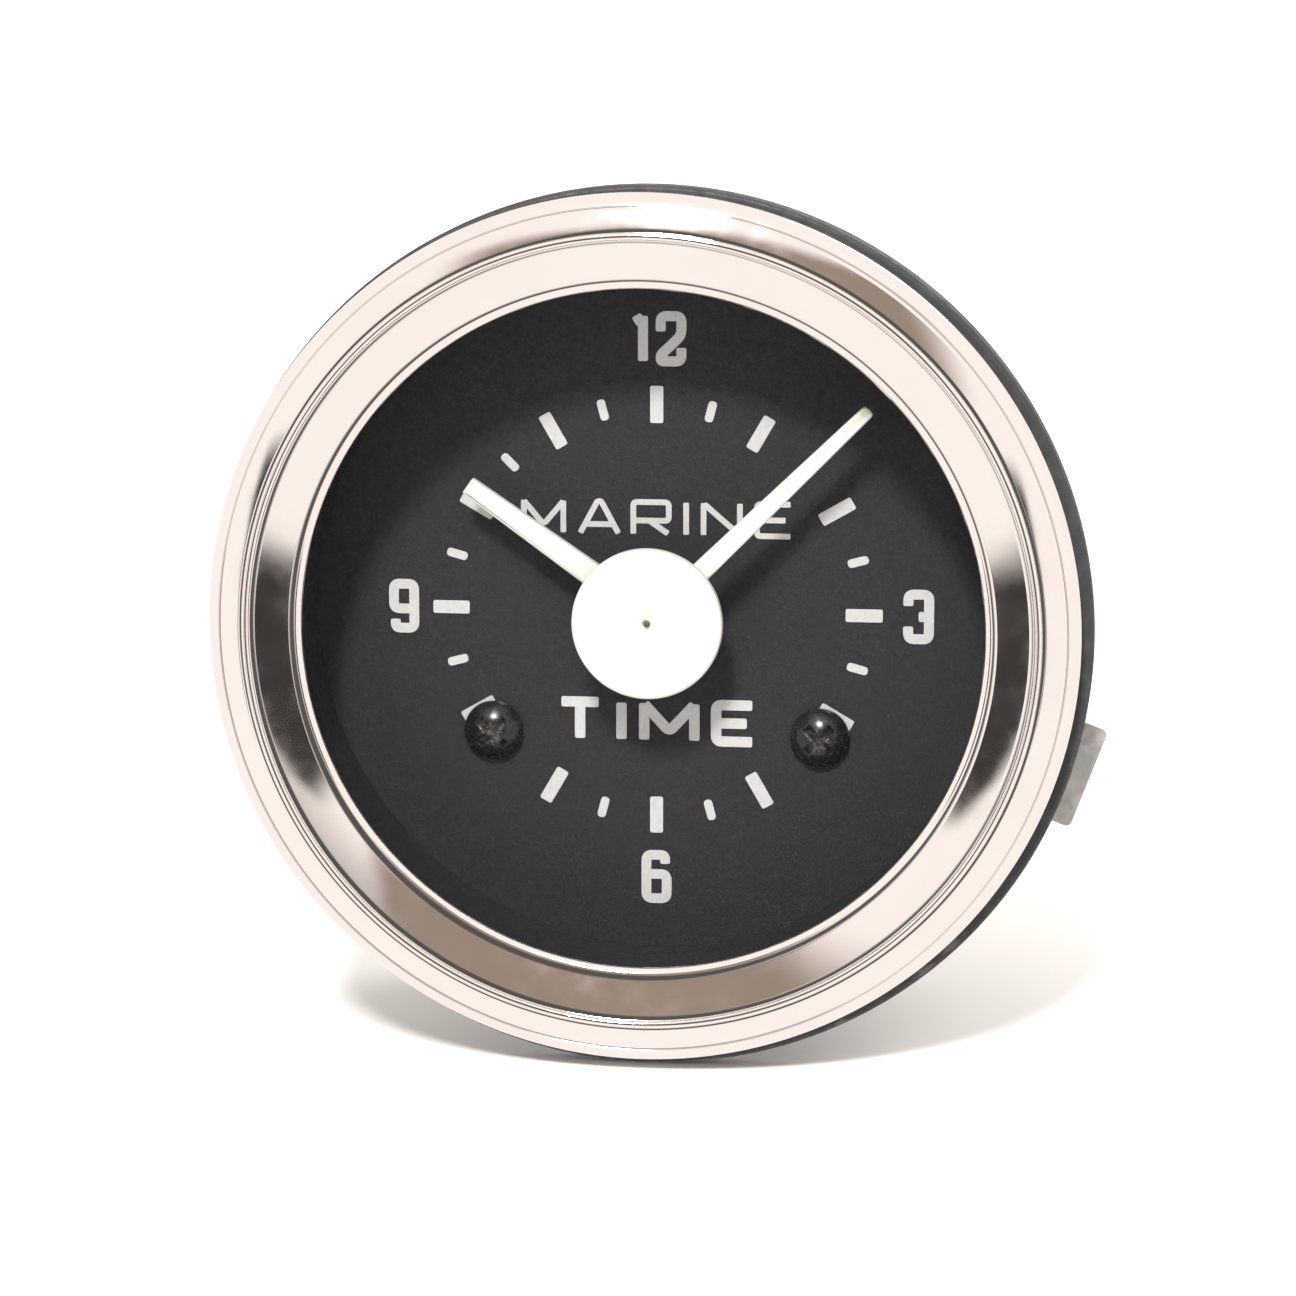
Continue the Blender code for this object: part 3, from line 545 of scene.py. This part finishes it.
def copper():
    made = Surface("winding_copper", (0.70, 0.33, 0.17), 0.3, 1.0)
    made.tint(made.between(made.noise(0.5, 3.0, (0.1, 1.0, 0.1)), 0.4, 0.65), (0.42, 0.16, 0.08))
    made.rough(made.noise(0.5, 3.0), 0.3, 0.7, 0.22, 0.40)
    made.raised(made.noise(0.12, 1.0, (0.05, 1.0, 0.05)), 0.04, 0.8)
    return made.done()


def magnet():
    made = Surface("sintered_magnet", (0.15, 0.15, 0.16), 0.4, 0.8)
    made.tint(made.between(made.noise(0.3, 5.0), 0.5, 0.72), (0.28, 0.28, 0.29))
    made.rough(made.noise(0.4, 4.0), 0.3, 0.7, 0.32, 0.52)
    made.raised(made.noise(0.2, 4.0), 0.02, 0.6)
    return made.done()


def board_green():
    made = Surface("fibreglass_board", (0.035, 0.17, 0.075), 0.38)
    made.tint(made.between(made.noise(0.7, 1.0, (1.0, 1.0, 0.2)), 0.52, 0.58), (0.07, 0.27, 0.12))
    made.tint(made.between(made.noise(5.0, 4.0), 0.4, 0.7, 0.0, 0.6), (0.028, 0.13, 0.06))
    made.rough(made.noise(0.6, 4.0), 0.3, 0.7, 0.30, 0.45)
    made.raised(made.noise(0.5, 2.0), 0.01, 0.5)
    return made.done()


def clear_lens():
    """Nearly clear: a small share of a mirror on each face, and the rest lets light through."""
    made = Surface("lens_clear", (1.0, 1.0, 1.0), 0.02, 1.0)
    made.tint(made.between(made.noise(12.0), 0.4, 0.7, 0.0, 0.5), (0.95, 0.98, 1.0))
    made.rough(made.noise(1.5, 5.0), 0.55, 0.8, 0.015, 0.06)
    made.shader.inputs["Alpha"].default_value = LENS_MIRROR_SHARE
    return made.done()


def bulb_glass():
    made = Surface("bulb_glass", (0.92, 0.95, 0.94), 0.05)
    made.tint(made.between(made.noise(1.5, 4.0), 0.45, 0.75), (0.80, 0.78, 0.70))
    made.rough(made.noise(0.6, 4.0), 0.4, 0.75, 0.03, 0.12)
    made.shader.inputs["Transmission Weight"].default_value = 0.85
    made.shader.inputs["IOR"].default_value = 1.48
    return made.done()


FINISH = {
    "chrome": chrome(),
    "steel": steel(),
    "zinc": zinc(),
    "brass": brass(),
    "copper": copper(),
    "magnet": magnet(),
    "lens": clear_lens(),
    "dial": dial_black(),
    "hand_white": hand_white(),
    "black_screw": black_oxide(),
    "black_plastic": black_plastic(),
    "white_plastic": white_plastic(),
    "rubber": rubber(),
    "board": board_green(),
}
CASE_STEEL = case_lacquer()
BRACKET_STEEL = bracket_steel()
SHADE_BLACK = shade_black()
PRINT_WHITE = print_white()
BULB_GLASS = bulb_glass()
SLOTS = {part["node"]: part["material_slot"] for part in frame["record"]["subparts"]}
BODY_OF = {
    node: body for body, nodes in frame["record"]["behaviour"]["bodies"].items() for node in nodes
}


def painted(piece, material):
    piece.data.materials.clear()
    piece.data.materials.append(material)
    return piece


def stands_for(piece, node, material=None):
    """A fine piece that takes a CAD node's place, body and slot."""
    painted(piece, material or FINISH[SLOTS[node]])
    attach(piece, BODY_OF[node])
    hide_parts(node)
    return piece


def added(piece, body, slot, material=None):
    """A fine piece that the CAD model doesn't have."""
    painted(piece, material or FINISH[slot])
    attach(piece, body)
    return piece


# ---------------------------------------------------------------- front


def make_bezel():
    """The rolled chrome ring: lip, inner cone, raised bead, outer band, step and rounded shoulder."""
    profile = [Vector(p) for p in ((29.3, 2.2), (26.6, 2.2), (26.6, 2.55), (28.7, 2.55))]
    profile += [Vector(p) for p in ((28.7, 3.25), (25.7, 3.25), (25.7, 3.8), (LIP_RADIUS, 3.8))]
    profile += bow((LIP_RADIUS, 4.0), (24.08, 4.33), 0.06, 7)
    profile += bow((24.15, 4.32), (26.78, 5.34), 0.016, 10)
    profile += [Vector((26.86, 5.33))]
    profile += arc((BEAD_RADIUS, 5.42), 0.27, 195, -15, 14)
    profile += [Vector((27.45, 5.33))]
    profile += bow((27.52, 5.36), (29.02, 4.81), 0.012, 8)
    profile += [Vector((29.06, 4.76)), Vector((29.13, 4.76))]
    profile += arc((28.72, 3.55), 1.36, 70, 20, 9)
    profile += bow((30.0, 3.15), (29.72, 2.32), 0.07, 4)
    profile += [Vector((29.5, 2.22))]
    ring = lathe("bezel_ring_fine", profile, BEZEL_STEPS, sharp=60.0)
    stands_for(ring, "bezel_ring")


def make_seal():
    """The black seal: a flat ring with a rounded rim and a thin moulding line round it."""
    profile = [(26.3, 0.02), (26.3, 2.08), (30.1, 2.08)]
    profile += [tuple(p) for p in arc((30.25, 1.74), 0.34, 90, 10, 5)]
    profile += [(30.56, 1.2), (30.46, 1.1), (30.56, 1.0)]
    profile += [tuple(p) for p in arc((30.3, 0.32), 0.29, 0, -90, 5)]
    stands_for(lathe("panel_gasket_fine", profile, BEZEL_STEPS, SEAL_PLACE), "panel_gasket")


def make_lens():
    """The flat lens, its black seal and the dark wall between it and the dial."""
    disc = eased([(0.0, 3.4), (24.7, 3.4), (24.7, 1.6), (0.0, 1.6)], 0.12, 3, ring=False)
    lens = lathe("lens_glass_fine", disc, 128, ring=False, sharp=20.0)
    stands_for(lens, "lens_glass")
    seal = eased([(23.7, 3.74), (25.4, 3.74), (25.4, 3.46), (23.7, 3.46)], 0.08, 3)
    stands_for(lathe("lens_gasket_fine", seal, 128), "lens_gasket")
    wall = eased([(24.2, 1.5), (24.85, 1.5), (24.85, -4.9), (24.2, -4.9)], 0.1, 3)
    stands_for(lathe("shade_ring_fine", wall, 160), "shade_ring", SHADE_BLACK)


# ---------------------------------------------------------------- print


def bar(path, width, ends):
    """The outline of a straight bar, with its corners rounded."""
    start, end = (Vector(p) for p in path)
    along = (end - start).normalized()
    aside = Vector((-along.y, along.x)) * (width / 2)
    return eased([start + aside, start - aside, end - aside, end + aside], ends, 4)


def swept(path, width, easing):
    """The flat shapes that a pen covers along a path: a bar for each step, a disc at each bend."""
    points = eased(path, easing, 5, ring=False)
    last = len(points) - 1
    shapes = []
    for i, (start, end) in enumerate(zip(points, points[1:])):
        along = (end - start).normalized()
        aside = Vector((-along.y, along.x)) * (width / 2)
        corners = [start + aside, start - aside, end - aside, end + aside]
        ends = ({0, 1} if i == 0 else set()) | ({2, 3} if i == last - 1 else set())
        shapes.append(eased(corners, width * 0.2, 3, only=ends))
        if i:
            shapes.append(arc(start, width / 2, 0, 345, 23))
    return shapes


def holds(shape, spot):
    """Whether a convex outline, drawn counterclockwise, holds a spot."""
    return all((b - a).cross(spot - a) > 0 for a, b in zip(shape, shape[1:] + shape[:1]))


def inked(work, shapes, low, high):
    """Add the union of some convex flat shapes to a bmesh, as an upright block."""
    spots, faces = [], []
    for shape in shapes:
        faces.append(list(range(len(spots), len(spots) + len(shape))))
        spots += shape
    found = delaunay_2d_cdt(spots, [], faces, 0, 1e-4, False)
    spots, triangles = found[0], found[2]
    covered = []
    for triangle in triangles:
        centre = (spots[triangle[0]] + spots[triangle[1]] + spots[triangle[2]]) / 3
        if any(holds(shape, centre) for shape in shapes):
            covered.append(triangle)
    used = sorted({k for triangle in covered for k in triangle})
    base = {k: work.verts.new(at(spots[k].x, spots[k].y, low)) for k in used}
    top = {k: work.verts.new(at(spots[k].x, spots[k].y, high)) for k in used}
    steps = set()
    for triangle in covered:
        work.faces.new([top[k] for k in triangle])
        work.faces.new([base[k] for k in reversed(triangle)])
        steps |= {(triangle[k - 1], triangle[k]) for k in range(3)}
    for a, b in sorted(steps):
        if (b, a) not in steps:
            work.faces.new((base[a], base[b], top[b], top[a]))


# Each sign is drawn on a unit square, as the pen's paths.
SIGNS = {
    "1": [[(0.55, 0.0), (0.55, 1.0)], [(0.05, 0.86), (0.55, 0.97)]],
    "2": [[(0, 0.66), (0, 1), (1, 1), (1, 0.58), (0, 0.14), (0, 0), (1, 0), (1, 0.3)]],
    "3": [[(0, 0.74), (0, 1), (1, 1), (1, 0), (0, 0), (0, 0.28)], [(0.5, 0.5), (0.9, 0.5)]],
    "6": [[(0.92, 0.8), (0.92, 1), (0, 1), (0, 0), (1, 0), (1, 0.56), (0, 0.56)]],
    "9": [[(0.08, 0.2), (0.08, 0), (1, 0), (1, 1), (0, 1), (0, 0.44), (1, 0.44)]],
    "A": [[(0, 0), (0.45, 1), (0.55, 1), (1, 0)], [(0.14, 0.28), (0.86, 0.28)]],
    "E": [[(1, 1), (0, 1), (0, 0), (1, 0)], [(0, 0.5), (0.85, 0.5)]],
    "I": [[(0.5, 0), (0.5, 1)]],
    "M": [[(0, 0), (0, 1)], [(1, 0), (1, 1)], [(0, 0.98), (0.46, 0.3), (0.54, 0.3), (1, 0.98)]],
    "N": [[(0, 0), (0, 1)], [(1, 0), (1, 1)], [(0.02, 0.97), (0.98, 0.03)]],
    "R": [[(0, 0), (0, 1), (1, 1), (1, 0.42), (0, 0.42)], [(0.45, 0.42), (0.98, 0.02)]],
    "T": [[(0, 1), (1, 1)], [(0.5, 1), (0.5, 0)]],
}


def letter(work, sign, centre, width, height, pen, easing):
    """Print one sign."""
    shapes = []
    for path in SIGNS[sign]:
        spots = [
            (centre[0] + (x - 0.5) * (width - pen), centre[1] + (y - 0.5) * (height - pen))
            for x, y in path
        ]
        shapes += swept(spots, pen, easing)
    inked(work, shapes, DIAL_FACE, DIAL_FACE + PRINT_THICK)


def word(work, signs, centre, spans, height, pen, easing):
    """Print a row of signs. spans gives each sign's width and the gap after it."""
    total = sum(width + gap for width, gap in spans) - spans[-1][1]
    left = centre[0] - total / 2
    for sign, (width, gap) in zip(signs, spans):
        letter(work, sign, (left + width / 2, centre[1]), width, height, pen, easing)
        left += width + gap


def make_print():
    """The white print: marks at the hours and half hours, four numbers and two plain words."""
    work = bmesh.new()
    low, high = DIAL_FACE, DIAL_FACE + PRINT_THICK
    for hour in range(12):
        path = [on_clock(MARK_INNER, 30 * hour), on_clock(MARK_OUTER, 30 * hour)]
        prism(work, bar(path, MARK_WIDTH, 0.16), low, high)
    for step in range(12):
        angle = 15 + 30 * step
        if angle in UNMARKED:
            continue
        half = SMALL_MARK_LENGTH / 2
        path = [on_clock(SMALL_MARK_RADIUS - half, angle), on_clock(SMALL_MARK_RADIUS + half, angle)]
        prism(work, bar(path, SMALL_MARK_WIDTH, 0.28), low, high)
    pen, easing = 0.7, 0.42
    word(work, "12", (0.05, 19.2), [(1.9, 0.0), (2.15, 0.0)], 3.85, pen, easing)
    letter(work, "3", (18.4, 0.0), 2.15, 3.85, pen, easing)
    letter(work, "6", (0.0, -19.1), 2.15, 3.85, pen, easing)
    letter(work, "9", (-18.0, 0.0), 2.15, 3.85, pen, easing)
    thin = [(3.2, 0.8), (3.1, 0.65), (2.9, 0.8), (0.45, 0.8), (2.95, 0.8), (2.75, 0.0)]
    word(work, "MARINE", (0.0, 6.6), thin, 2.65, 0.4, 0.28)
    bold = [(3.4, 0.65), (1.2, 0.65), (4.3, 0.8), (3.3, 0.0)]
    word(work, "TIME", (0.0, -7.9), bold, 3.35, 0.74, 0.42)
    added(finished("dial_print", work), "case", "hand_white", PRINT_WHITE)


# ---------------------------------------------------------------- hands


def hand_outline(angle, length, root, tip, boss, easing):
    """A tapered bar with a round boss, pointing at an angle clockwise from 12 o'clock."""
    spread = math.asin(root / 2 / boss)
    round_part = [
        Vector((math.sin(a), math.cos(a))) * boss
        for a in (spread + (math.tau - 2 * spread) * k / 40 for k in range(41))
    ]
    bar = [Vector((-tip / 2, length)), Vector((tip / 2, length))]
    outline = eased(round_part + bar, easing, 5, only={41, 42})
    turn = Matrix.Rotation(-math.radians(angle), 2)
    return [turn @ point for point in outline]


def ring_outline(radius, count=48):
    return [Vector((math.sin(a), math.cos(a))) * radius
            for a in (math.tau * k / count for k in range(count))]


def make_hands():
    """The two tapered hands, each on a round boss."""
    hour = hand_outline(HOUR_ANGLE, HOUR_LENGTH, 1.8, 1.3, BOSS_RADIUS, 0.16)
    piece = plate("hour_hand_fine", [hour, ring_outline(1.7)], -2.9, -2.0, 0.24)
    stands_for(piece, "hour_hand")
    minute = hand_outline(MINUTE_ANGLE, MINUTE_LENGTH, 1.5, 0.9, BOSS_RADIUS, 0.45)
    piece = plate("minute_hand_fine", [minute, ring_outline(0.95)], -1.3, -0.4, 0.2)
    stands_for(piece, "minute_hand")


def make_hub():
    """The large white cap over the hands, with a dimple and the arbor's dark end in it."""
    profile = [Vector((0.0, 0.42)), Vector((0.30, 0.42))]
    profile += bow((0.36, 0.62), (0.62, 0.80), -0.03, 4)
    profile += bow((0.9, 0.80), (4.6, 0.76), 0.01, 6)
    profile += arc((4.93, 0.44), 0.32, 80, 0, 7)
    profile += [Vector((5.25, -0.02)), Vector((5.15, -0.15)), Vector((0.0, -0.15))]
    stands_for(lathe("hub_cap_fine", profile, 128, ring=False), "hub_cap")
    pin = eased([(0.0, 0.56), (0.20, 0.56), (0.24, 0.43), (0.0, 0.43)], 0.04, 3, ring=False)
    added(lathe("arbor_end", pin, 32, ring=False), "minute_arbor", "brass", FINISH["magnet"])


def make_dial_screws():
    """Black pan-head screws with a cross recess."""
    for node in ("dial_screw_left", "dial_screw_right"):
        x, y = middle(node)
        top = bow((2.08, -4.5), (0.0, -3.5), -0.26, 10)
        profile = [Vector((0.0, -4.9)), Vector((1.98, -4.9)), Vector((2.1, -4.75))] + top
        head = lathe(f"{node}_fine", profile, 64, (x, y), ring=False, sharp=40.0)
        for turn in (45, 135):
            slot = bmesh.new()
            along = on_clock(1.3, turn)
            path = [Vector((x, y)) - along, Vector((x, y)) + along]
            prism(slot, bar(path, 0.62, 0.1), -4.3, -3.2)
            cut(head, finished("recess", slot))
        stands_for(head, node)


# ---------------------------------------------------------------- back


def make_case():
    """The drawn steel can with its rolled front flange, a stiffening rib and holes in its back."""
    outer = [(25.0, 3.15), (28.5, 3.15), (28.6, 2.9), (28.5, 2.65), (26.1, 2.65), (25.8, 2.35)]
    wall = [(25.8, -1.6), (25.62, -2.0), (25.62, -2.6), (25.8, -3.0), (25.8, -28.8)]
    back = [tuple(p) for p in arc((24.4, -28.6), 1.4, 0, -90, 8)]
    rib = [(21.6, -30.0), (21.3, -29.82), (20.3, -29.82), (20.0, -30.0), (0.0, -30.0)]
    floor = [(0.0, -29.2), (24.2, -29.2)]
    inner = [tuple(p) for p in arc((24.2, -28.4), 0.8, -90, 0, 5)]
    profile = outer + wall + back + rib + floor + inner
    can = lathe("case_can_fine", profile, 192, ring=False)
    for node, radius in (("stud_left", 2.15), ("stud_right", 2.15), ("setting_knob", 1.1),
                         ("lamp_holder", 3.6)):
        tool = lathe("hole", [(0.0, -28), (radius, -28), (radius, -31), (0.0, -31)], 48,
                     middle(node), ring=False)
        cut(can, tool)
    tool = bmesh.new()
    x, y = middle("terminal_block")
    prism(tool, [(x - 4.25, y - 2.8), (x + 4.25, y - 2.8), (x + 4.25, y + 2.8), (x - 4.25, y + 2.8)],
          -31, -28)
    cut(can, finished("slot", tool))
    stands_for(can, "case_can", CASE_STEEL)


def make_studs():
    """Threaded studs, M4 with a pitch of 0.7."""
    pitch, depth, crest = 0.7, 0.42, 2.0
    rows_per_turn = 7

    for node in ("stud_left", "stud_right"):
        low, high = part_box(node)
        bottom, top = -high.y / MM, -low.y / MM
        head = [(0.0, top), (3.3, top), (3.4, top - 0.15), (3.4, top - 1.0), (1.6, top - 1.05)]
        turns = (top - 1.05 - bottom) / pitch
        count = int(turns * rows_per_turn)
        shaft = [(crest - depth, top - 1.05 - (top - 1.05 - bottom - 0.02) * k / count)
                 for k in range(1, count + 1)]

        def thread(angle, radius, height, start=top - 1.3, end=bottom):
            if radius > crest - depth + 0.01 or radius < crest - depth - 0.01:
                return 0.0
            phase = (height / pitch + angle / math.tau) % 1.0
            fade = min(1.0, max(0.0, (height - end) / 0.6), max(0.0, (start - height) / 0.4))
            return depth * (1 - abs(2 * phase - 1)) * fade

        profile = head + shaft + [(1.3, bottom), (0.0, bottom)]
        piece = lathe(f"{node}_fine", profile, 32, middle(node), ring=False, relief=thread,
                      sharp=75.0)
        stands_for(piece, node)


def knurled(name, place, bore, radius, top, bottom, teeth, depth, cap=None):
    """A turned part with a straight knurl between its two chamfered ends."""
    rim = [(radius - 0.55, top), (radius - 0.1, top - 0.4), (radius, top - 0.55),
           (radius, bottom + 0.55), (radius - 0.1, bottom + 0.4), (radius - 0.55, bottom)]

    def knurl(angle, spot, height):
        if spot < radius - 0.2 or not bottom + 0.3 < height < top - 0.3:
            return 0.0
        return -depth * (0.5 + 0.5 * math.cos(teeth * angle)) ** 2

    if bore:
        ends = [(bore + 0.25, top), *rim, (bore + 0.25, bottom)]
        profile = ends + [(bore, bottom + 0.25), (bore, top - 0.25)]
    else:
        profile = [(0.0, top), *rim] + (cap or [(0.0, bottom)])
    return lathe(name, profile, teeth * 6, place, ring=bool(bore), relief=knurl, sharp=38.0)


def make_clamp():
    """The bent steel bracket, split washers and knurled brass nuts."""
    stands_for(refined("clamp_bracket", 0.26, 3, ends=1.0), "clamp_bracket", BRACKET_STEEL)
    for node in ("spring_washer_left", "spring_washer_right"):
        stands_for(refined(node, 0.1), node)
    for node in ("clamp_nut_left", "clamp_nut_right"):
        low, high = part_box(node)
        piece = knurled(f"{node}_fine", middle(node), 2.15, 4.5, -low.y / MM, -high.y / MM, 44, 0.28)
        stands_for(piece, node)


def make_knob():
    """The setting knob: a knurled skirt, with a shallow dish in its end."""
    low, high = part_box("setting_knob")
    top, bottom = -low.y / MM, -high.y / MM
    dish = [(2.6, bottom), (2.35, bottom + 0.25), (0.0, bottom + 0.3)]
    piece = knurled("setting_knob_fine", middle("setting_knob"), 0.0, 3.6, top, bottom, 30, 0.22, dish)
    stands_for(piece, "setting_knob")


def make_lamp():
    """The lamp holder: a flange, a waist and a fluted grip."""
    low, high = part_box("lamp_holder")
    top, bottom = -low.y / MM, -high.y / MM
    profile = [(0.0, -30.6), (2.9, -30.6), (2.9, -30.2), (4.6, -30.2), (4.75, -30.35),
               (4.75, -31.6), (4.6, -31.8), (3.7, -31.85), (3.6, -32.1), (3.6, -36.4),
               (3.3, -36.9), (2.5, bottom), (2.3, bottom + 0.2), (0.0, bottom + 0.2)]

    def flutes(angle, radius, height):
        wide = 3.5 < radius < 3.65 and height < -32
        return -0.28 * (0.5 + 0.5 * math.cos(12 * angle)) ** 3 if wide else 0.0

    holder = lathe("lamp_holder_fine", profile, 96, middle("lamp_holder"), ring=False, relief=flutes)
    stands_for(holder, "lamp_holder")
    glass = eased([(0.0, -19.5), (1.6, -19.9), (2.2, -21.4), (2.2, -26.0), (1.7, -27.5),
                   (1.7, -30.5), (0.0, -30.5)], 0.8, 5, ring=False)
    bulb = lathe("lamp_bulb_fine", glass, 48, middle("lamp_bulb"), ring=False)
    stands_for(bulb, "lamp_bulb", BULB_GLASS)


def make_terminals():
    """The terminal block and its two blades, each with a chamfered end and a hole."""
    stands_for(refined("terminal_block", 0.35, 3), "terminal_block")
    for node in ("spade_negative", "spade_positive"):
        blade = refined(node, 0.16, 2)
        x, y = middle(node)
        tool = bmesh.new()
        bmesh.ops.create_cone(
            tool, cap_ends=True, segments=24, radius1=0.8 * MM, radius2=0.8 * MM, depth=4 * MM,
            matrix=Matrix.Translation(at(x, y, -39.5)) @ Matrix.Rotation(math.pi / 2, 4, "Y"),
        )
        cut(blade, finished("blade_hole", tool))
        stands_for(blade, node)


# ---------------------------------------------------------------- inside


def dress_the_rest():
    """Every CAD node that is still shown gets its own slot's material."""
    for name, node in frame["nodes"].items():
        if not node.hide_render:
            painted(node, FINISH[SLOTS[name]])


# ---------------------------------------------------------------- studio


def make_camera():
    """A long lens, a little to the right of the clock and above it."""
    out = Vector((
        math.sin(VIEW_TURN) * math.cos(VIEW_TILT),
        -math.cos(VIEW_TURN) * math.cos(VIEW_TILT),
        math.sin(VIEW_TILT),
    ))
    facing = (-out).to_track_quat("-Z", "Y").to_matrix()
    aim = at(0.0, 0.0, VIEW_HEIGHT) + (facing.col[0] * VIEW_RIGHT + facing.col[1] * VIEW_UP) * MM
    lens = bpy.data.cameras.new("view")
    lens.lens = LENS_LENGTH
    lens.sensor_width = 36.0
    lens.clip_start = 0.01
    camera = bpy.data.objects.new("view", lens)
    camera.matrix_world = Matrix.Translation(aim + out * VIEW_DISTANCE * MM) @ facing.to_4x4()
    bpy.context.scene.collection.objects.link(camera)
    bpy.context.scene.camera = camera


def make_floor():
    """A plain pale floor just under the seal's rim."""
    half, height = FLOOR_HALF, CAD_BOX[0][2] - FLOOR_GAP
    mesh = bpy.data.meshes.new("floor")
    corners = [(-half, -half, height), (half, -half, height), (half, half, height), (-half, half, height)]
    mesh.from_pydata(corners, [], [(0, 1, 2, 3)])
    floor = bpy.data.objects.new("floor", mesh)
    bpy.context.scene.collection.objects.link(floor)
    pale = Surface("pale_floor", (0.93, 0.925, 0.92), 0.9)
    pale.tint(pale.between(pale.noise(60.0, 3.0), 0.4, 0.7, 0.0, 0.5), (0.92, 0.91, 0.90))
    painted(floor, pale.done())
    floor.visible_glossy = False


# Cards that stand round the pale studio: turn right and tilt up from straight in front of the dial,
# half width and half height in degrees, and colour.
DARK_CARD = (0.05, 0.045, 0.042)
TAN_CARD = (0.34, 0.27, 0.22)
CARDS = (
    (-45, -5, 5, 15, DARK_CARD),
    (30, -5, 5, 15, DARK_CARD),
    (0, 25, 30, 10, TAN_CARD),
)
CARD_SOFTNESS = 0.35
STUDIO_STOPS = (
    (0.0, (1.05, 0.99, 0.95)),
    (0.5, (1.07, 1.01, 0.97)),
    (0.88, (1.05, 0.98, 0.94)),
    (0.96, (0.12, 0.11, 0.105)),
    (1.0, (0.10, 0.09, 0.085)),
)


class Studio:
    """Builds the world's background out of nodes."""

    def __init__(self):
        world = bpy.data.worlds.new("studio")
        bpy.context.scene.world = world
        world.use_nodes = True
        self.tree = world.node_tree
        self.tree.nodes.clear()

    def node(self, kind, *sources, **settings):
        """Add a node, and feed its inputs in order with links or plain values."""
        made = self.tree.nodes.new(kind)
        for key, value in settings.items():
            setattr(made, key, value)
        for slot, source in zip(made.inputs, sources):
            if isinstance(source, bpy.types.NodeSocket):
                self.tree.links.new(source, slot)
            else:
                slot.default_value = source
        return made

    def calculated(self, operation, *sources):
        return self.node("ShaderNodeMath", *sources, operation=operation).outputs[0]

    def rise(self, value, start, end):
        return self.node("ShaderNodeMapRange", value, start, end, interpolation_type="SMOOTHSTEP").outputs[0]

    def card(self, direction, turn, tilt, wide, tall):
        """1 where a direction meets a card and 0 where it doesn't, with soft edges."""
        place = self.node("ShaderNodeVectorRotate", direction, rotation_type="EULER_XYZ", invert=True)
        place.inputs["Rotation"].default_value = (-math.radians(tilt), 0.0, math.radians(turn))
        local = self.node("ShaderNodeSeparateXYZ", place.outputs[0])
        depth = self.calculated("MULTIPLY", local.outputs["Y"], -1.0)
        mask = self.rise(depth, 0.0, 0.05)
        for axis, half in (("X", wide), ("Z", tall)):
            slope = self.calculated("ABSOLUTE", self.calculated("DIVIDE", local.outputs[axis], depth))
            limit = math.tan(math.radians(half))
            mask = self.calculated("MULTIPLY", mask, self.rise(slope, limit, limit * (1 - CARD_SOFTNESS)))
        return mask


def make_world():
    """A plain pale studio that is darker straight in front of the dial."""
    made = Studio()
    direction = made.node("ShaderNodeTexCoord").outputs["Generated"]
    axes = made.node("ShaderNodeSeparateXYZ", direction)
    ramp = made.node("ShaderNodeValToRGB", made.calculated("MULTIPLY", axes.outputs["Y"], -1.0))
    elements = ramp.color_ramp.elements
    while len(elements) < len(STUDIO_STOPS):
        elements.new(0.5)
    for element, (place, colour) in zip(elements, STUDIO_STOPS):
        element.position = place
        element.color = (*colour, 1.0)
    colour = ramp.outputs[0]
    for *place, shade in CARDS:
        mix = made.node("ShaderNodeMix", data_type="RGBA")
        made.tree.links.new(made.card(direction, *place), mix.inputs["Factor"])
        made.tree.links.new(colour, mix.inputs["A"])
        mix.inputs["B"].default_value = (*shade, 1.0)
        colour = mix.outputs["Result"]
    studio = made.node("ShaderNodeBackground", colour)
    plain = made.node("ShaderNodeBackground", (1.0, 1.0, 1.0, 1.0))
    seen = made.node("ShaderNodeLightPath").outputs["Is Camera Ray"]
    chosen = made.node("ShaderNodeMixShader", seen, studio.outputs[0], plain.outputs[0])
    made.node("ShaderNodeOutputWorld", chosen.outputs[0])


def make_lights():
    """A soft key light from above and slightly left of the reader, and a weaker one behind."""
    for name, turn, tilt, spread, strength in (
        ("key", -4.0, 42.0, 9.0, 3.6),
        ("back", 150.0, 40.0, 25.0, 1.2),
    ):
        light = bpy.data.lights.new(name, "SUN")
        light.angle = math.radians(spread)
        light.energy = strength
        light.color = (1.0, 0.975, 0.94)
        lamp = bpy.data.objects.new(name, light)
        turn, tilt = math.radians(turn), math.radians(tilt)
        source = Vector((
            math.sin(turn) * math.cos(tilt), -math.cos(turn) * math.cos(tilt), math.sin(tilt)
        ))
        lamp.rotation_euler = source.to_track_quat("Z", "Y").to_euler()
        bpy.context.scene.collection.objects.link(lamp)


make_camera()
make_bezel()
make_seal()
make_lens()
make_print()
make_hands()
make_hub()
make_dial_screws()
make_case()
make_studs()
make_clamp()
make_knob()
make_lamp()
make_terminals()
dress_the_rest()
make_floor()
make_world()
make_lights()
bpy.context.scene.view_settings.view_transform = "Standard"
bpy.context.scene.view_settings.look = "None"
